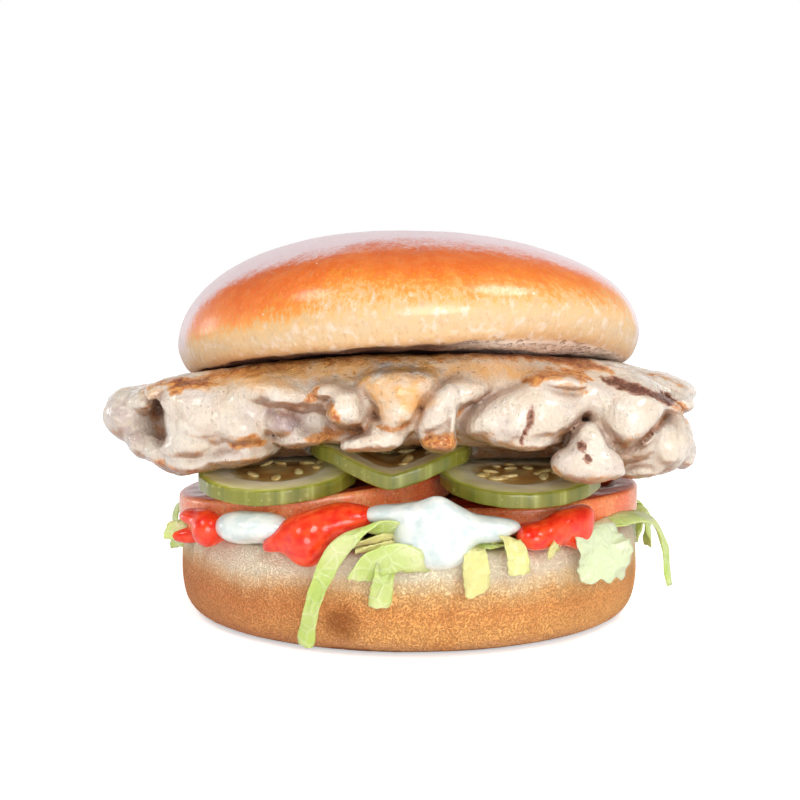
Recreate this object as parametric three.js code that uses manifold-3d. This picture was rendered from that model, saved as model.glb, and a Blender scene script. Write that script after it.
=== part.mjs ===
// Chicken burger: a glossy bun, a grilled chicken thigh, gherkin slices, tomato, two sauces and lettuce.
// Millimetres, +Z up. The origin is the middle of the flat base of the bottom bun,
// and the side that is seen in front looks along -Y.
import * as THREE from 'three';
import { mergeVertices } from 'three/addons/utils/BufferGeometryUtils.js';
import Module from 'manifold-3d';

const wasm = await Module();
wasm.setup();

// Driving dimensions
const BUN_RADIUS = 55;
const HEEL_HEIGHT = 22.2;
const HEEL_BASE_RADIUS = 49;
const HEEL_DISH = 3.2;
const CROWN_RISE = 28;
const CROWN_LIP = 6;
const CROWN_SEAT = 57.5;
const CROWN_TILT = 0.145;
const CROWN_LEAN = 0.029;
const CROWN_ARCH = 2.2;
const CROWN_BEVEL = 2.4;
const FILLET = { halfWidth: 50, halfDepth: 38, round: 6.5, half: 4.1, seat: 48.4 };
const FILLET_TILT = 0.1;
const PICKLE = { radius: 18, thickness: 3.3 };
const TOMATO_THICKNESS = 6.6;
const SAUCE_FILM = 1.1;
const LETTUCE_THICKNESS = 0.9;
const GAP = 0.35;
const MEAT_CELL = 4.7;
const MEAT_MARGIN = 4;
const MEAT_LOWEST = 32;
const SAUCE_CELL = 3;
const ROUND_STEPS = 36;

// Colours and finishes
const finishes = {
  crust: { color: 0xd98a3c, roughness: 0.3, metalness: 0 },
  crumb: { color: 0xe0a766, roughness: 0.75, metalness: 0 },
  meat: { color: 0xe3cdb9, roughness: 0.45, metalness: 0 },
  gherkin: { color: 0xc3c27a, roughness: 0.35, metalness: 0 },
  tomato: { color: 0xe4502f, roughness: 0.3, metalness: 0 },
  ketchup: { color: 0xd8200e, roughness: 0.15, metalness: 0 },
  mayo: { color: 0xf3f4ee, roughness: 0.2, metalness: 0 },
  lettuce: { color: 0xc9dd92, roughness: 0.4, metalness: 0 },
};

const group = new THREE.Group();

function addNode(name, geometry, finish) {
  const mesh = new THREE.Mesh(geometry, new THREE.MeshStandardMaterial(finishes[finish]));
  mesh.name = name;
  group.add(mesh);
}

// Solids: closed geometries to and from the join and cut library

function toSolid(geometry) {
  const bare = geometry.clone();
  bare.deleteAttribute('normal');
  bare.deleteAttribute('uv');
  const merged = mergeVertices(bare, 1e-4);
  return new wasm.Manifold(new wasm.Mesh({
    numProp: 3,
    vertProperties: new Float32Array(merged.attributes.position.array),
    triVerts: new Uint32Array(merged.index.array),
  }));
}

function toGeometry(solid) {
  const mesh = solid.getMesh();
  const geometry = new THREE.BufferGeometry();
  geometry.setAttribute('position', new THREE.BufferAttribute(mesh.vertProperties, 3));
  geometry.setIndex(new THREE.BufferAttribute(mesh.triVerts, 1));
  geometry.computeVertexNormals();
  return geometry;
}

function largestPart(solid) {
  return solid.decompose().reduce((best, part) => (part.volume() > best.volume() ? part : best));
}

function joinAll(solids) {
  return solids.reduce((whole, solid) => whole.add(solid));
}

function cutAll(solid, tools) {
  return largestPart(tools.reduce((rest, tool) => rest.subtract(tool), solid));
}

// Unevenness: a smooth wave in space with no fixed period, between -1 and 1
function unevenness(x, y, z, size, phase = 0) {
  const a = Math.sin(x / size + 1.3 * phase + 1.7 * Math.sin(y / size * 0.83 + phase));
  const b = Math.sin(y / size * 1.13 + 2.1 * phase + 1.4 * Math.sin(z / size * 1.07 - phase));
  const c = Math.sin(z / size * 0.91 - 0.7 * phase + 1.5 * Math.sin(x / size * 0.77 + 2 * phase));
  return (a + b + c) / 3;
}

function smoothstep(low, high, value) {
  const t = Math.min(1, Math.max(0, (value - low) / (high - low)));
  return t * t * (3 - 2 * t);
}

function shaped(geometry, move) {
  const position = geometry.attributes.position;
  const point = new THREE.Vector3();
  for (let i = 0; i < position.count; i += 1) {
    point.fromBufferAttribute(position, i);
    move(point);
    position.setXYZ(i, point.x, point.y, point.z);
  }
  return geometry;
}

// A turned shape about Z from [radius, height] pairs that start and end on the axis
function turned(profile, steps = ROUND_STEPS) {
  const points = profile.map(([radius, height]) => new THREE.Vector2(radius, height));
  return new THREE.LatheGeometry(points, steps).rotateX(Math.PI / 2);
}

// Soft fields: negative inside, positive outside, about a millimetre for each millimetre

function blend(a, b, width) {
  const h = Math.max(width - Math.abs(a - b), 0) / width;
  return Math.min(a, b) - h * h * width / 4;
}

function carve(a, b, width) {
  return -blend(-a, b, width);
}

// A rounded lobe of half sizes `half` at `at`, turned about Z, leant about Y and tipped about X, in degrees
function lobe(at, half, { turn = 0, lean = 0, tip = 0 } = {}) {
  const angles = new THREE.Euler(...[tip, lean, turn].map(THREE.MathUtils.degToRad), 'ZYX');
  const place = new THREE.Matrix4().makeRotationFromEuler(angles).setPosition(...at);
  const back = place.clone().invert();
  const p = new THREE.Vector3();
  return (x, y, z) => {
    p.set(x, y, z).applyMatrix4(back);
    const k0 = Math.hypot(p.x / half[0], p.y / half[1], p.z / half[2]);
    const k1 = Math.hypot(p.x / half[0] ** 2, p.y / half[1] ** 2, p.z / half[2] ** 2);
    return k1 < 1e-9 ? -Math.min(...half) : k0 * (k0 - 1) / k1;
  };
}

function blendLobes(lobes, width) {
  return (x, y, z) => lobes.reduce((near, each) => blend(near, each(x, y, z), width), 1e3);
}

// Where two inside corners of a grid square meet only across its diagonal, one more corner is filled,
// so that the skin never touches itself along an edge
function fillDiagonals(value, at, [nx, ny, nz], filled) {
  const steps = [[1, 0, 0], [0, 1, 0], [0, 0, 1]];
  let changes = 0;
  for (let k = 0; k < nz - 1; k += 1) {
    for (let j = 0; j < ny - 1; j += 1) {
      for (let i = 0; i < nx - 1; i += 1) {
        for (let axis = 0; axis < 3; axis += 1) {
          const [a, b] = [steps[axis], steps[(axis + 1) % 3]];
          const square = [[0, 0], [1, 0], [1, 1], [0, 1]]
            .map(([u, v]) => at(i + u * a[0] + v * b[0], j + u * a[1] + v * b[1], k + u * a[2] + v * b[2]));
          const inside = square.map((corner) => value[corner] < 0);
          if (inside[0] !== inside[2] || inside[1] !== inside[3] || inside[0] === inside[1]) continue;
          value[square[inside[0] ? 1 : 0]] = filled;
          changes += 1;
        }
      }
    }
  }
  return changes;
}

// The closed skin of a field inside a box, with one vertex in each cell that the surface crosses
function skin(field, low, high, cell) {
  const size = low.map((value, axis) => Math.ceil((high[axis] - value) / cell) + 1);
  const [nx, ny, nz] = size;
  const at = (i, j, k) => (k * ny + j) * nx + i;
  const value = new Float32Array(nx * ny * nz);
  for (let k = 0; k < nz; k += 1) {
    for (let j = 0; j < ny; j += 1) {
      for (let i = 0; i < nx; i += 1) {
        value[at(i, j, k)] = field(low[0] + i * cell, low[1] + j * cell, low[2] + k * cell);
      }
    }
  }
  while (fillDiagonals(value, at, size, -0.2 * cell) > 0);
  const corners = [...Array(8).keys()].map((n) => [n & 1, (n >> 1) & 1, (n >> 2) & 1]);
  const pairs = [];
  corners.forEach((a, m) => corners.forEach((b, n) => {
    const apart = Math.abs(a[0] - b[0]) + Math.abs(a[1] - b[1]) + Math.abs(a[2] - b[2]);
    if (m < n && apart === 1) pairs.push([a, b]);
  }));
  const vertexOf = new Int32Array(nx * ny * nz).fill(-1);
  const points = [];
  for (let k = 0; k < nz - 1; k += 1) {
    for (let j = 0; j < ny - 1; j += 1) {
      for (let i = 0; i < nx - 1; i += 1) {
        const sum = [0, 0, 0];
        let crossings = 0;
        for (const [a, b] of pairs) {
          const va = value[at(i + a[0], j + a[1], k + a[2])];
          const vb = value[at(i + b[0], j + b[1], k + b[2])];
          if ((va < 0) === (vb < 0)) continue;
          const t = va / (va - vb);
          for (let axis = 0; axis < 3; axis += 1) sum[axis] += a[axis] + t * (b[axis] - a[axis]);
          crossings += 1;
        }
        if (crossings === 0) continue;
        vertexOf[at(i, j, k)] = points.length / 3;
        [i, j, k].forEach((n, axis) => points.push(low[axis] + (n + sum[axis] / crossings) * cell));
      }
    }
  }
  const faces = [];
  const steps = [[1, 0, 0], [0, 1, 0], [0, 0, 1]];
  for (let k = 1; k < nz - 1; k += 1) {
    for (let j = 1; j < ny - 1; j += 1) {
      for (let i = 1; i < nx - 1; i += 1) {
        for (let axis = 0; axis < 3; axis += 1) {
          const [a, b, c] = [steps[axis], steps[(axis + 1) % 3], steps[(axis + 2) % 3]];
          const here = value[at(i, j, k)] < 0;
          if (here === value[at(i + a[0], j + a[1], k + a[2])] < 0) continue;
          const quad = [[0, 0], [1, 0], [1, 1], [0, 1]].map(([u, v]) => vertexOf[at(
            i - u * b[0] - v * c[0],
            j - u * b[1] - v * c[1],
            k - u * b[2] - v * c[2],
          )]);
          if (!here) quad.reverse();
          faces.push(quad[0], quad[1], quad[2], quad[0], quad[2], quad[3]);
        }
      }
    }
  }
  const geometry = new THREE.BufferGeometry();
  geometry.setAttribute('position', new THREE.Float32BufferAttribute(points, 3));
  geometry.setIndex(faces);
  return geometry;
}

// Bottom bun: a flat base with a round edge, nearly upright sides and a slightly dished cut face

function heelTop(radius) {
  return HEEL_HEIGHT - HEEL_DISH * (1 - smoothstep(26, 50, radius));
}

function heel() {
  const profile = [
    [0, 0], [HEEL_BASE_RADIUS * 0.5, 0], [HEEL_BASE_RADIUS, 0], [52.2, 1.3], [54.1, 4],
    [BUN_RADIUS, 8.5], [BUN_RADIUS, 14], [54.7, 18], [54, 21], [52.3, HEEL_HEIGHT + 0.1],
    [50, heelTop(50)], [38, heelTop(38)], [26, heelTop(26)], [0, heelTop(0)],
  ];
  return shaped(turned(profile), (p) => {
    const edge = smoothstep(35, BUN_RADIUS, Math.hypot(p.x, p.y)) * smoothstep(0, 3, p.z);
    const swell = 1 + 0.008 * edge * unevenness(p.x, p.y, 0, 24, 1);
    p.x *= swell;
    p.y *= swell;
  });
}

// Top bun: a glossy dome, tilted back on the meat, its front edge arched a little

function crownSeat(x, y) {
  const front = smoothstep(10, BUN_RADIUS, -y);
  return CROWN_SEAT + CROWN_LEAN * x - CROWN_TILT * (y + 3) + CROWN_ARCH * front * front * 0.6;
}

function crownUnderside(x, y) {
  const reach = Math.min(1, Math.hypot(x, y) / (BUN_RADIUS - 3));
  return crownSeat(x, y) + 2.2 * (1 - reach * reach);
}

// How far the cut edge is raised at the front right, where the crumb of the cut face shows
function crownBevel(x, y, z) {
  const away = (Math.atan2(y, x) + 0.9) / 0.5;
  const edge = smoothstep(46, 54, Math.hypot(x, y)) * (1 - smoothstep(2, CROWN_LIP, z));
  return CROWN_BEVEL * edge * Math.exp(-away * away);
}

function crown() {
  const profile = [[0, 2.2], [20, 1.9], [38, 1.0], [48, 0.3], [51.3, 0.1], [53.6, 1.6]];
  const arcs = 9;
  for (let i = 0; i <= arcs; i += 1) {
    const angle = (Math.PI / 2) * (i / arcs);
    const radius = BUN_RADIUS * Math.cos(angle) ** 0.93;
    const height = CROWN_LIP + CROWN_RISE * Math.sin(angle) ** 0.97;
    profile.push([i === arcs ? 0 : radius, height]);
  }
  return shaped(turned(profile, ROUND_STEPS), (p) => {
    const swell = 1 + 0.012 * unevenness(p.x, p.y, p.z, 30, 4);
    p.z += crownBevel(p.x, p.y, p.z);
    const rise = p.z / (CROWN_LIP + CROWN_RISE);
    const seat = crownSeat(p.x, p.y) * (1 - rise * rise) + (CROWN_SEAT - 0.8) * rise * rise;
    p.x = p.x * swell - 1.2 * rise;
    p.y *= swell;
    p.z += seat;
  });
}

// Tomato: three slices. The left one lies with its right side up on the right one,
// and a half slice lies behind them.
const tomatoes = [
  { name: 'tomato_left', at: [-22, -11], radius: 32, top: (x) => 29.8 + 0.095 * (x + 54), film: SAUCE_FILM + GAP },
  { name: 'tomato_right', at: [27.5, -14], radius: 25.5, top: (x) => 28.1 + 0.085 * (x - 2) },
  { name: 'tomato_back', at: [4, 24], radius: 28, top: (x, y) => 32.4 - 0.05 * (y - 24), half: true },
];

function tomatoSlice({ at, radius, top, half }, grow = 0) {
  const r = radius + grow;
  const t = TOMATO_THICKNESS;
  const profile = [
    [0, -t - grow], [r * 0.95, -t - grow], [r, -t * 0.7], [r, -t * 0.3], [r * 0.95, grow], [0, grow],
  ];
  return shaped(turned(profile, 28), (p) => {
    const wobble = 1 + 0.012 * unevenness(p.x, p.y, 0, 12, radius);
    p.x = at[0] + p.x * wobble;
    p.y = at[1] + p.y * wobble;
    if (half) p.y = Math.max(p.y, at[1] + 1.5 - grow);
    p.z += top(p.x, p.y);
  });
}

// Gherkin slices: thin rounds that droop over what they lie on, the middle one over its two neighbours
const pickles = [
  {
    name: 'pickle_left',
    at: [-29.6, -30],
    top: (x, y) => 34.7 + 0.14 * Math.min(20, y + 48) + 0.06 * Math.max(0, x + 34),
  },
  {
    name: 'pickle_right',
    at: [24.5, -30],
    top: (x, y) => 34.2 + 0.15 * Math.min(20, y + 48) + 0.9 * ((x - 24) / 18) ** 2,
  },
  {
    name: 'pickle_middle',
    at: [-4.4, -28.5],
    top: (x, y) => {
      const fold = Math.min(13, Math.hypot(x + 4.4, 2)) - 2;
      return 38.2 + 0.1 * Math.min(18, y + 46) + (x < -4.4 ? 0.4 : 0.3) * fold;
    },
  },
  { name: 'pickle_back_left', at: [-24, 31], top: (x, y) => 38.2 - 0.07 * (y - 14) },
  { name: 'pickle_back_right', at: [17, 33], top: (x, y) => 37.4 - 0.08 * (y - 14) },
];

function pickleSlice({ at, top }, grow = 0) {
  const r = PICKLE.radius + grow;
  const t = PICKLE.thickness;
  const profile = [
    [0, -t - grow], [r * 0.5, -t - grow], [r * 0.97, -t - grow], [r, -t * 0.6], [r * 0.97, grow],
    [r * 0.5, grow], [0, grow],
  ];
  return shaped(turned(profile, 22), (p) => {
    const wobble = 1 + 0.015 * unevenness(p.x, p.y, 0, 9, at[0]);
    p.x = at[0] + p.x * wobble;
    p.y = at[1] + p.y * wobble;
    p.z += top(p.x, p.y);
  });
}

// Chicken: a slab of thigh meat with the lobes, flaps and folds of its edge
const meatLobes = [
  // left end: a tongue with a fold behind it, and the browned edge that runs on under the big lobe
  lobe([-65, -12, 48], [6.5, 13, 6.5]),
  lobe([-59.5, -14, 51.5], [6.5, 14, 3.5]),
  lobe([-61.5, -14, 42], [5.5, 12, 4], { lean: 42 }),
  lobe([-57.5, -8, 44.5], [8, 13, 8]),
  lobe([-55, -20, 39.5], [7, 12, 4], { lean: 32 }),
  lobe([-47.5, -29, 39.5], [7.5, 12, 3.5]),
  lobe([-38, -33, 42], [9.5, 12, 3.5], { lean: -8 }),
  lobe([-44, -31, 49], [11.5, 15, 7.5], { turn: 10 }),
  lobe([-36.5, -37, 48], [6.5, 10, 5.5]),
  lobe([-46, -25, 55], [12, 15, 2], { lean: -4 }),
  // middle: a sheet with gristle under it, a nugget, a flap, and a rolled lobe with a browned tip
  lobe([-27, -41, 55], [10, 9, 3.5], { lean: 12 }),
  lobe([-27.5, -42, 49], [4.5, 6.5, 3.5], { lean: 20 }),
  lobe([-23.5, -39, 45.5], [6.5, 8, 2.5], { lean: -6 }),
  lobe([-13.5, -48.5, 52.5], [4.5, 6, 4.5]),
  lobe([-15.5, -46, 56], [6, 8, 2], { lean: 5 }),
  lobe([-8, -48, 46], [7, 7, 2.5], { lean: -3 }),
  lobe([-2.5, -44, 56.5], [10, 10, 5]),
  lobe([-2.5, -47, 52.5], [5.5, 7, 4.5]),
  lobe([5.5, -49, 52.5], [3.5, 7, 7], { lean: 35 }),
  lobe([6, -50, 46], [4, 6, 2.5]),
  // right end: a wedge with a browned ridge, a hanging finger, and two lobes with a slash between them
  lobe([26, -41, 51], [12, 13, 7.5]),
  lobe([16.5, -44, 50], [6, 9, 3.5], { lean: -22 }),
  lobe([24, -43, 46], [10, 9, 2.5], { lean: 5 }),
  lobe([31.5, -39, 58], [8, 11, 2], { lean: 6 }),
  lobe([36.5, -48, 40.5], [7, 7, 4], { lean: 8 }),
  lobe([37.5, -46, 45.5], [4, 7.5, 4.5]),
  lobe([41, -47, 41.5], [5, 6.5, 3], { lean: 30 }),
  lobe([47, -28, 46], [12.5, 14, 8.5]),
  lobe([47, -37, 50], [8, 13, 9], { lean: 48 }),
  lobe([50.5, -34, 53.5], [9.5, 12, 2.5], { lean: 14 }),
  lobe([56.5, -25, 42.5], [6.5, 14, 8], { lean: 42 }),
  lobe([52, -28, 38], [6.5, 10, 3], { lean: -10 }),
  lobe([62.5, -20, 40], [3, 9, 4.5]),
  lobe([58, -8, 54], [10, 15, 3.5], { lean: 10 }),
];
const meatHollows = [
  lobe([-56.5, -31, 48.5], [1.5, 13, 4.5], { lean: -8 }),
  lobe([-17.5, -52, 46.5], [4, 8, 2], { lean: -12 }),
];

// The hidden rim: lobes of uneven size from the right end round the back to the left end
function rimLobes() {
  const lobes = [];
  const count = 9;
  for (let i = 0; i < count; i += 1) {
    const angle = THREE.MathUtils.degToRad(12 + (156 * i) / (count - 1));
    const odd = Math.sin(5.3 * i + 1.1);
    const far = 1 + 0.05 * Math.sin(3.7 * i);
    const x = 54 * far * Math.cos(angle);
    const y = 42 * far * Math.sin(angle);
    const z = 45.5 - 0.06 * y + 1.2 * Math.sin(2.9 * i + 0.4);
    lobes.push(lobe([x, y, z], [11 + 3 * odd, 9.5 - 1.5 * odd, 8.2 + 1.2 * odd], { turn: 57.3 * angle + 90 }));
  }
  return lobes;
}

function filletSlab(x, y, z) {
  const middle = FILLET.seat - FILLET_TILT * y;
  const half = FILLET.half - 0.035 * y;
  const k0 = Math.hypot(x / FILLET.halfWidth, y / FILLET.halfDepth);
  const k1 = Math.hypot(x / FILLET.halfWidth ** 2, y / FILLET.halfDepth ** 2);
  const side = k1 < 1e-9 ? -FILLET.halfDepth : k0 * (k0 - 1) / k1;
  const up = Math.abs(z - middle) - half;
  const outside = Math.hypot(Math.max(side, 0), Math.max(up, 0));
  return Math.min(Math.max(side, up), 0) + outside - FILLET.round;
}

function topOfLayersBelow(x, y) {
  const under = (list, radiusOf) => list
    .filter((each) => Math.hypot(x - each.at[0], y - each.at[1]) < radiusOf(each) + MEAT_MARGIN)
    .map((each) => each.top(x, y));
  return Math.max(MEAT_LOWEST, ...under(pickles, () => PICKLE.radius), ...under(tomatoes, (each) => each.radius));
}

function meatField() {
  const lobes = blendLobes([...meatLobes, ...rimLobes()], 2);
  const hollows = blendLobes(meatHollows, 1.5);
  return (x, y, z) => {
    let near = blend(filletSlab(x, y, z), lobes(x, y, z), 3);
    near = carve(near, hollows(x, y, z), 2);
    near += 0.25 * unevenness(x, y, z, 3.4, 2);
    near = carve(near, crownUnderside(x, y) - 0.7 - z, 1.5);
    if (Math.hypot(x, y) < 66) near = carve(near, z - topOfLayersBelow(x, y) - 1.3, 1);
    return near;
  };
}

// Sauces: soft dollops that have been pressed out at the edge, and a film of each under the tomato
const ketchupDollops = {
  ketchup_left: [
    lobe([-44.3, -40, 25.4], [3.6, 5, 3.9]),
    lobe([-47.5, -35, 27.4], [3.8, 4.5, 1.9]),
    lobe([-49.5, -31, 22.4], [4.4, 4, 1.8]),
    lobe([-41, -34, 24.6], [5, 7, 1.8], { turn: 45 }),
  ],
  ketchup_centre: [
    lobe([-22, -51, 25], [5.2, 7, 5.8]),
    lobe([-14.2, -48.5, 29], [7, 6.5, 3], { lean: -8 }),
    lobe([-27.6, -48.5, 25.2], [4.8, 5, 2.2], { lean: -35 }),
    lobe([-20, -40, 25], [9, 10, 2.2]),
  ],
  ketchup_right: [
    lobe([26.2, -50, 25.4], [4, 4.8, 2.8]),
    lobe([31.5, -47, 26.9], [4.8, 5, 3.2], { lean: -35 }),
    lobe([35.7, -43.2, 28], [4.4, 5, 3], { lean: -30 }),
    lobe([36.5, -43, 24.4], [2.6, 4, 3.2]),
    lobe([30, -38, 25], [8, 9, 2]),
  ],
  ketchup_back: [
    lobe([24, 45.5, 27], [7, 6.5, 4]),
    lobe([16, 49.5, 26], [5, 4.6, 3.2]),
    lobe([20, 40, 24.8], [7, 9, 1.8]),
  ],
};
const mayoCentreLobes = [
  lobe([5.5, -52, 26], [7.4, 7, 6]),
  lobe([4.4, -51, 29.8], [6.4, 5.6, 3.2]),
  lobe([5.5, -52.5, 32], [2.3, 2.6, 2.2]),
  lobe([-4.8, -49.6, 30.4], [6, 5, 2], { lean: -5 }),
  lobe([0.8, -53, 25], [4.6, 5, 3.8]),
  lobe([6.2, -54, 22.6], [5.6, 4.8, 3.2]),
  lobe([13.6, -50.5, 27.4], [6, 5.4, 2.6], { lean: 12 }),
  lobe([19.2, -48.5, 27.4], [4.6, 4.8, 1.9]),
  lobe([3, -42, 25.4], [10, 10, 2.4]),
];
const mayoLeftLobes = [
  lobe([-38.2, -42, 26.3], [4.2, 6, 3.1]),
  lobe([-34, -45, 26.8], [4.6, 6, 2.9]),
  lobe([-29.6, -46.5, 27], [4, 5.5, 2.5]),
  lobe([-31, -33, 25], [7, 12, 2.2]),
];
const mayoBackLobes = [
  lobe([-16, 47.5, 27.4], [9, 6.4, 4.4]),
  lobe([-26, 43.5, 28.2], [6, 5.4, 3.4]),
  lobe([-18, 40, 25], [7, 9, 1.8]),
];

function dollop(lobes, low, high, grow = 0) {
  const field = blendLobes(lobes, 2.2);
  return toSolid(skin((x, y, z) => field(x, y, z) - grow, low, high, SAUCE_CELL));
}

// A thin round film of sauce under a tomato slice
function sauceFilm(slice, at, radius, grow = 0) {
  const profile = [
    [0, -SAUCE_FILM - grow], [radius + grow, -SAUCE_FILM - grow],
    [radius + 0.4 + grow, -SAUCE_FILM / 2], [radius + grow, grow], [0, grow],
  ];
  return toSolid(shaped(turned(profile, 18), (p) => {
    p.x += at[0];
    p.y += at[1];
    p.z += slice.top(p.x, p.y) - TOMATO_THICKNESS - GAP;
  }));
}

// Lettuce: a bed of shreds that runs through the food, and the shreds and leaves that hang out of it

// A leaf is a ribbon along a curve, with both faces alike and its middle bent in a wave
function leaf({ route, across, width, ruffle = 0.8, waves = 3, steps = 7, rows = 3 }, thickness) {
  const curve = new THREE.CatmullRomCurve3(route.map((p) => new THREE.Vector3(...p)));
  const side = new THREE.Vector3(...across).normalize();
  const faces = [[], []];
  for (let i = 0; i <= steps; i += 1) {
    const t = i / steps;
    const centre = curve.getPoint(t);
    const along = curve.getTangent(t);
    const flat = side.clone().addScaledVector(along, -side.dot(along)).normalize();
    const normal = along.clone().cross(flat).normalize();
    const reach = width * (0.5 - 0.14 * t + 0.06 * Math.sin(9 * t + width));
    for (let j = 0; j < rows; j += 1) {
      const u = (2 * j) / (rows - 1) - 1;
      const lift = ruffle * Math.sin(waves * Math.PI * t + 2.1 * u + width) * (0.35 + 0.65 * Math.abs(u));
      const middle = centre.clone().addScaledVector(flat, u * reach).addScaledVector(normal, lift);
      [1, -1].forEach((sign, face) => {
        faces[face].push(middle.clone().addScaledVector(normal, sign * thickness / 2));
      });
    }
  }
  const half = faces[0].length;
  const at = (face, i, j) => face * half + i * rows + j;
  const index = [];
  const quad = (a, b, c, d) => index.push(a, b, c, a, c, d);
  for (let i = 0; i < steps; i += 1) {
    for (let j = 0; j < rows - 1; j += 1) {
      quad(at(0, i, j), at(0, i + 1, j), at(0, i + 1, j + 1), at(0, i, j + 1));
      quad(at(1, i, j), at(1, i, j + 1), at(1, i + 1, j + 1), at(1, i + 1, j));
    }
    quad(at(0, i, 0), at(1, i, 0), at(1, i + 1, 0), at(0, i + 1, 0));
    quad(at(0, i, rows - 1), at(0, i + 1, rows - 1), at(1, i + 1, rows - 1), at(1, i, rows - 1));
  }
  for (let j = 0; j < rows - 1; j += 1) {
    quad(at(0, 0, j), at(0, 0, j + 1), at(1, 0, j + 1), at(1, 0, j));
    quad(at(0, steps, j), at(1, steps, j), at(1, steps, j + 1), at(0, steps, j + 1));
  }
  const geometry = new THREE.BufferGeometry();
  const points = [...faces[0], ...faces[1]].flatMap((p) => [p.x, p.y, p.z]);
  geometry.setAttribute('position', new THREE.Float32BufferAttribute(points, 3));
  geometry.setIndex(index);
  const solid = toSolid(geometry);
  return solid.volume() > 0 ? solid : toSolid(flipped(geometry));
}

function flipped(geometry) {
  const index = geometry.index.array;
  for (let i = 0; i < index.length; i += 3) [index[i], index[i + 1]] = [index[i + 1], index[i]];
  return geometry;
}

// The leaves that show in front, each from the bed out over the edge of the bottom bun
const frontLeaves = [
  // the long shred that hangs to the foot of the bun
  {
    route: [
      [2, -46, 24.4], [-3, -54, 27.4], [-8, -57, 28.8], [-13, -59, 26.6], [-16.4, -59.6, 22.4], [-20.2, -58.8, 13.4],
      [-22.3, -56, 3.4],
    ],
    across: [1, -0.3, 0.35], width: 4.8, steps: 12,
  },
  // the folded leaf under the white sauce, and the tab that hangs from it
  {
    route: [[9, -50, 22.9], [3, -57.4, 21.6], [-3, -58.8, 22.6], [-8, -59.4, 21.4], [-11, -59.2, 18]],
    across: [0.2, -0.3, 1], width: 6.6, steps: 8,
  },
  { route: [[-1, -50, 22.9], [-4.4, -57, 22], [-5.6, -58.4, 19], [-6.6, -58, 12]], across: [1, 0.1, 0], width: 5 },
  // the square tab and the narrow one right of the white sauce
  { route: [[12, -46, 22.8], [13, -54.6, 24], [13.5, -57.6, 20.4], [14, -57.4, 14.6]], across: [1, 0.2, 0], width: 5.8 },
  { route: [[18.4, -46, 22.5], [20.4, -53, 25.8], [22, -56.2, 23], [22.9, -56.4, 18.6]], across: [1, 0.4, 0], width: 5 },
  // the short yellow leaf under the red sauce
  { route: [[33, -41, 23], [31.6, -48.6, 24.2], [29.4, -53, 22.8]], across: [0.5, 0.6, 0.5], width: 4.4, steps: 5 },
  // the crumpled leaf at the right
  {
    route: [[35, -34, 23], [39.5, -41, 25.8], [41.6, -44, 22], [42.4, -43.4, 14.6]],
    across: [0.82, 0.56, 0], width: 15, ruffle: 1.5, waves: 4, rows: 5,
  },
  // the clear shred that curls out at the right side
  {
    route: [
      [36, -32, 23.4], [44, -35, 26], [50.4, -29, 26.4], [55.6, -24.4, 24], [58.6, -22, 18], [59.4, -22, 13],
      [60, -22, 9],
    ],
    across: [0.2, 1, 0.3], width: 4.4, steps: 10, ruffle: 0.5,
  },
  // the small leaf at the left
  { route: [[-40, -27, 22.6], [-48.6, -32, 23.4], [-54.6, -33, 24]], across: [0.1, -0.3, 1], width: 4.4 },
];

// The leaves round the sides and back, at uneven steps
function backLeaves() {
  const leaves = [];
  const count = 11;
  for (let i = 0; i < count; i += 1) {
    const angle = THREE.MathUtils.degToRad(-8 + 21 * i + 5 * Math.sin(4.1 * i));
    const drop = 4.5 + 4 * Math.sin(2.3 * i + 1) ** 2 + (i % 4 === 1 ? 5 : 0);
    const [c, s] = [Math.cos(angle), Math.sin(angle)];
    const route = [[43, 22.9], [51.5, 23.7], [57, 23.1], [57.6, 23 - drop]]
      .map(([radius, height]) => [c * radius, s * radius, height]);
    leaves.push({
      route, across: [-s, c, 0.2 * Math.sin(3 * i)], width: 6.5 + 3.5 * Math.sin(1.9 * i), ruffle: 0.9, steps: 6,
    });
  }
  return leaves;
}

function lettuceBedTop(x, y) {
  const under = tomatoes
    .filter((slice) => Math.hypot(x - slice.at[0], y - slice.at[1]) < slice.radius + 3)
    .map((slice) => slice.top(x, y) - TOMATO_THICKNESS - (slice.film ?? 0) - 1.2 * GAP);
  const heap = 1.5 + 3.2 * smoothstep(-24, 4, y);
  return Math.min(heelTop(Math.hypot(x, y)) + heap, ...under);
}

function lettuceBed() {
  const rings = [0, 26, 38, 50];
  const profile = rings.map((radius) => [radius, 0]);
  profile.push([51, 0.5], ...rings.reverse().map((radius) => [radius, 1]));
  return shaped(turned(profile, 30), (p) => {
    const flare = 1 + 0.035 * unevenness(p.x, p.y, 0, 6, 5);
    const radius = Math.hypot(p.x, p.y);
    p.x *= flare;
    p.y *= flare;
    const bottom = Math.max(heelTop(radius * flare), heelTop(radius)) + 1.5 * GAP;
    p.z = bottom + p.z * Math.max(0.4, lettuceBedTop(p.x, p.y) - bottom);
  });
}

// Assembly: firm pieces first, then each soft piece, cut back to a small gap where it meets them
addNode('bun_bottom', heel(), 'crumb');
addNode('bun_top', crown(), 'crust');
tomatoes.forEach((slice) => addNode(slice.name, tomatoSlice(slice), 'tomato'));
pickles.forEach((slice) => addNode(slice.name, pickleSlice(slice), 'gherkin'));

const heelTool = toSolid(heel().scale(1.004, 1.004, 1).translate(0, 0, GAP));
const tomatoTools = tomatoes.map((slice) => toSolid(tomatoSlice(slice, GAP)));
const pickleTools = pickles.map((slice) => toSolid(pickleSlice(slice, GAP)));

const meatBox = [[-80, -66, 28], [80, 66, 72]];
addNode('chicken', toGeometry(largestPart(toSolid(skin(meatField(), ...meatBox, MEAT_CELL)))), 'meat');

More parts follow.
